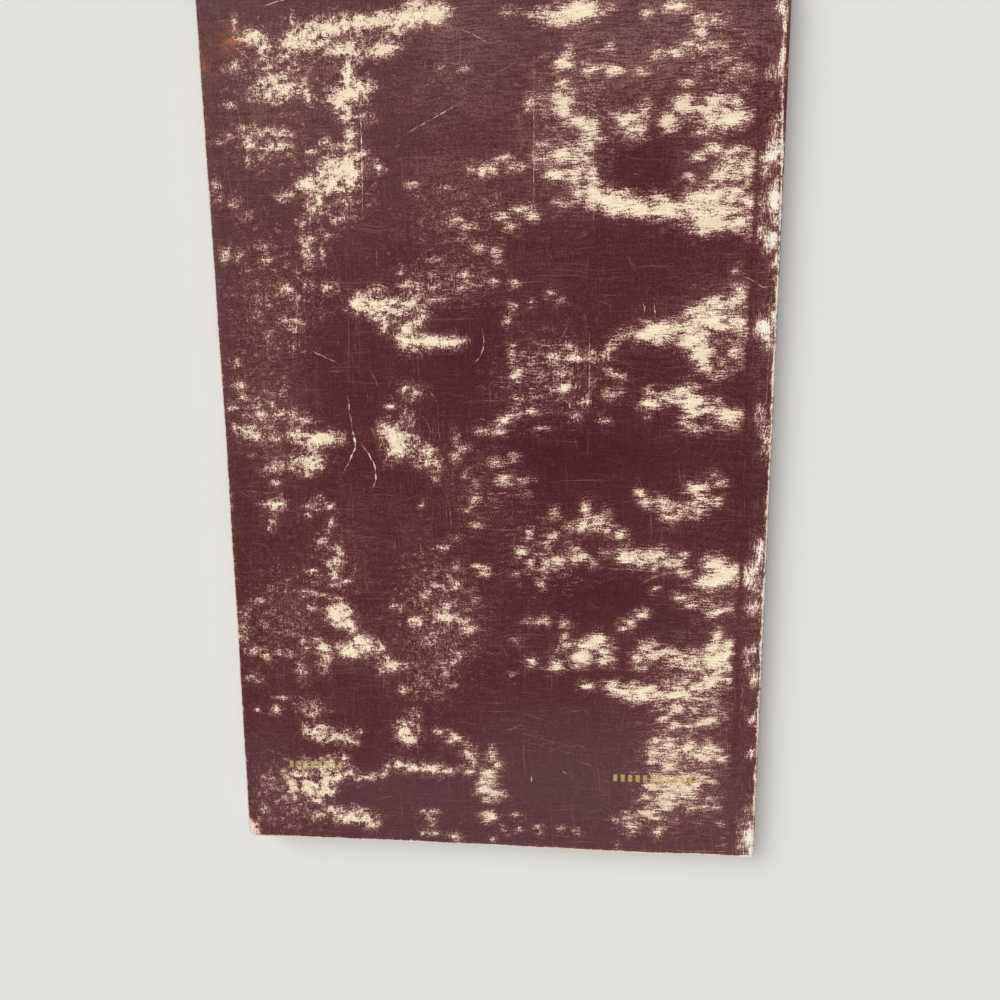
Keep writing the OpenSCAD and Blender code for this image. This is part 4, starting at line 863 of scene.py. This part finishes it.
    # The rows of printed blocks, a little worn too, and the stains.
    rows = [
        f.step(abs(x - mid_x), half, half - 0.1) * f.step(abs(y - mid_y), row_half_h, row_half_h - 0.15)
        for mid_x, mid_y, half in print_rows
    ]
    blocks = f.step(abs((x * blocks_per_mm).fraction() - 0.5), 0.3, 0.24)
    on_back = f.step(f.axis("Z"), book_t / 2 - 0.1, book_t / 2 + 0.1)
    printed = rows[0].most(rows[1]) * on_back * blocks * f.step(fleck * 0.6 + clump * 0.4, 0.36, 0.5)
    colour = f.blend(printed * 0.75, colour, print_yellow)
    colour = f.blend(stain * f.step(clump, 0.3, 0.6) * 0.7, colour, rust)

    rough = 0.45 + 0.1 * haze + 0.35 * bare - 0.08 * gloss
    height = bare * -0.5 + fleck * 0.25 - crease * 0.6
    return f.surface(colour, rough, f.bump(height, 0.06, 0.5), Specular_IOR_Level=0.18)


def bare_card():
    """Unprinted inner face and cut edges of the cover card, toned by age."""
    f = Finish("bare_card", "card_place")
    toned = f.step(f.margin() + 6 * f.cloud((10, 10, 10)), 14, 1)
    colour = f.blend(toned * 0.7, inner_card, toned_card)
    spots = f.step(f.cloud((1.6, 1.6, 1.6), 4, 0.6), 0.6, 0.75) * 0.35
    colour = f.blend(spots, colour, spotted_card)
    return f.surface(colour, 0.85, f.bump(f.cloud((0.3, 0.3, 0.3), 3), 0.03, 0.5), Specular_IOR_Level=0.3)


worn_ink, plain_card = worn_print(), bare_card()


def give(mesh, name, values):
    """Stores one number per outer point of a sheet for its finish to read."""
    whole = np.zeros(len(mesh.vertices), np.float32)
    whole[:values.size] = values.ravel()
    mesh.attributes.new(name, "FLOAT", "POINT").data.foreach_set("value", whole)


def handled(mesh, s, y, scuffs, speckle, areas, lines):
    """Stores the wear on half a cover, gives it ink outside and card inside, and puts it in the scene."""
    worn = np.maximum(rubbed(scuffs, s, y), rubbed(speckle, s, y))
    clear_of_score = 1 - 0.7 * np.exp(-(((s - score_x + 0.1) / 0.8) ** 2))
    give(mesh, "wear", np.maximum(worn * clear_of_score, edge_wear(s, y)))
    for name in ("gloss", "stain", "grazed", "dull", "tanned"):
        give(mesh, name, rubbed(areas.get(name, []), s, y))
    give(mesh, "upright", np.maximum(rubbed(areas.get("upright", []), s, y), ease(s, score_x - 1, score_x + 1)))
    for name in ("crease", "scratch"):
        side, bare = crease_field(lines.get(name, []), s, y)
        give(mesh, name + "_side", side)
        give(mesh, name + "_bare", bare)
    mesh.materials.append(worn_ink)
    mesh.materials.append(plain_card)
    half = bpy.data.objects.new(mesh.name, mesh)
    bpy.context.scene.collection.objects.link(half)
    return half


cover_back = handled(
    *half_cover("cover_back", step=0.9, lift=cover_lift, r_tail=1.9, r_head=1.2, flip=False),
    head_scuffs + middle_scuffs + lower_scuffs + tail_scuffs, speckled_areas,
    {
        "gloss": glossy_areas, "stain": stains, "grazed": grazed_areas, "dull": painted_sheen_areas,
        "tanned": tanned_areas, "upright": upright_areas,
    },
    {"crease": creases, "scratch": scratches},
)
(hinge_x + bend) * MM
book_t * MM
(hinge_x - bend) * MM
book_t * MM
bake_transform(cover_back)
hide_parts("back_cover", "spine")


# Cover card, front half: the same sheet carried on round the spine to the front, which lies face down.
# Nothing shows of its face, so it has plain ink with light handling wear and no print.
front_seed = 23
scuff_count, speckle_count = 46, 12
draw = np.random.default_rng(front_seed)


def random_scuff():
    """One rub mark of ordinary handling."""
    place = draw.uniform(fore_x, score_x), draw.uniform(tail_y, head_y)
    half_long, half_wide = draw.uniform(2, 7), draw.uniform(1, 2.4)
    turn, bare = draw.uniform(-15, 15), draw.uniform(0.4, 0.95)
    return (*place, half_long, half_wide, bare, turn)


def random_speckle():
    """One patch of fine specks."""
    place = draw.uniform(fore_x, score_x), draw.uniform(tail_y, head_y)
    return (*place, draw.uniform(9, 20), draw.uniform(8, 18), 0.28)


front_scuffs = [random_scuff() for _ in range(scuff_count)]
front_speckle = [random_speckle() for _ in range(speckle_count)]
front_gloss = [(*shape, bare / 2) for *shape, bare in front_speckle[::2]]
cover_front = handled(
    *half_cover("cover_front", step=1.5, lift=None, r_tail=1.4, r_head=1.4, flip=True),
    front_scuffs, front_speckle,
    {"gloss": front_gloss, "grazed": front_speckle[1::3], "dull": front_speckle[2::3]}, {},
)
(hinge_x + bend) * MM
(hinge_x - bend) * MM
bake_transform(cover_front)
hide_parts("front_cover", "spine")


# Stage: a plain pale floor under soft studio light, and the camera looking down on the back cover.
# The camera's place and turn are the photograph's, measured from the cover.
reach, floor_z = 4.0, -0.0002
dim_sky, seen_sky = 0.32, 0.76
floor_mesh = bpy.data.meshes.new("floor")
floor_corners = [(x, y, floor_z) for x, y in ((-reach, -reach), (reach, -reach), (reach, reach), (-reach, reach))]
floor_mesh.from_pydata(floor_corners, [], [(0, 1, 2, 3)])
floor_finish = Finish("pale_floor").surface(paint(226, 225, 222), 0.9, None, Specular_IOR_Level=0.2)
floor_mesh.materials.append(floor_finish)
floor = bpy.data.objects.new("floor", floor_mesh)
bpy.context.scene.collection.objects.link(floor)

world = bpy.data.worlds.new("studio")
world.use_nodes = True
studio = Nodes(world.node_tree)
studio.tree.nodes.clear()
seen = studio.node("ShaderNodeLightPath", output="Is Camera Ray")
for kind in ("Is Glossy Ray", "Is Transmission Ray"):
    seen = seen.most(studio.node("ShaderNodeLightPath", output=kind))
level = studio.node("ShaderNodeMapRange", None, {"Value": seen, "To Min": dim_sky, "To Max": seen_sky})
sky = studio.node("ShaderNodeBackground", None, {"Color": (1.0, 0.99, 0.975, 1.0), "Strength": level})
studio.node("ShaderNodeOutputWorld", None, {"Surface": sky})
bpy.context.scene.world = world


def soft_light(name, towards, width, strength):
    """Even light from one side, as soft as a lamp that wide in degrees."""
    lamp = bpy.data.lights.new(name, "SUN")
    lamp.angle, lamp.energy = math.radians(width), strength
    lit = bpy.data.objects.new(name, lamp)
    lit.matrix_world = Vector(towards).to_track_quat("Z", "Y").to_matrix().to_4x4()
    bpy.context.scene.collection.objects.link(lit)


soft_light("key", (-0.55, 0.6, 0.8), 40, 2.2)
soft_light("fill", (0.3, -0.75, 0.8), 50, 0.85)

eye = (0.02137, 0.01840, 0.19897)
right, up, behind = (0.9951, -0.0097, -0.0979), (-0.0060, 0.9872, -0.1594), (0.0982, 0.1592, 0.9823)
turn = Matrix((right, up, behind)).transposed().to_quaternion()
camera = bpy.data.objects.new("camera", bpy.data.cameras.new("camera"))
camera.data.sensor_width, camera.data.lens, camera.data.clip_start = 36.0, 28.62, 0.01
camera.matrix_world = Matrix.Translation(eye) @ turn.to_matrix().to_4x4()
bpy.context.scene.collection.objects.link(camera)
bpy.context.scene.camera = camera
bpy.context.scene.view_settings.view_transform = "Standard"
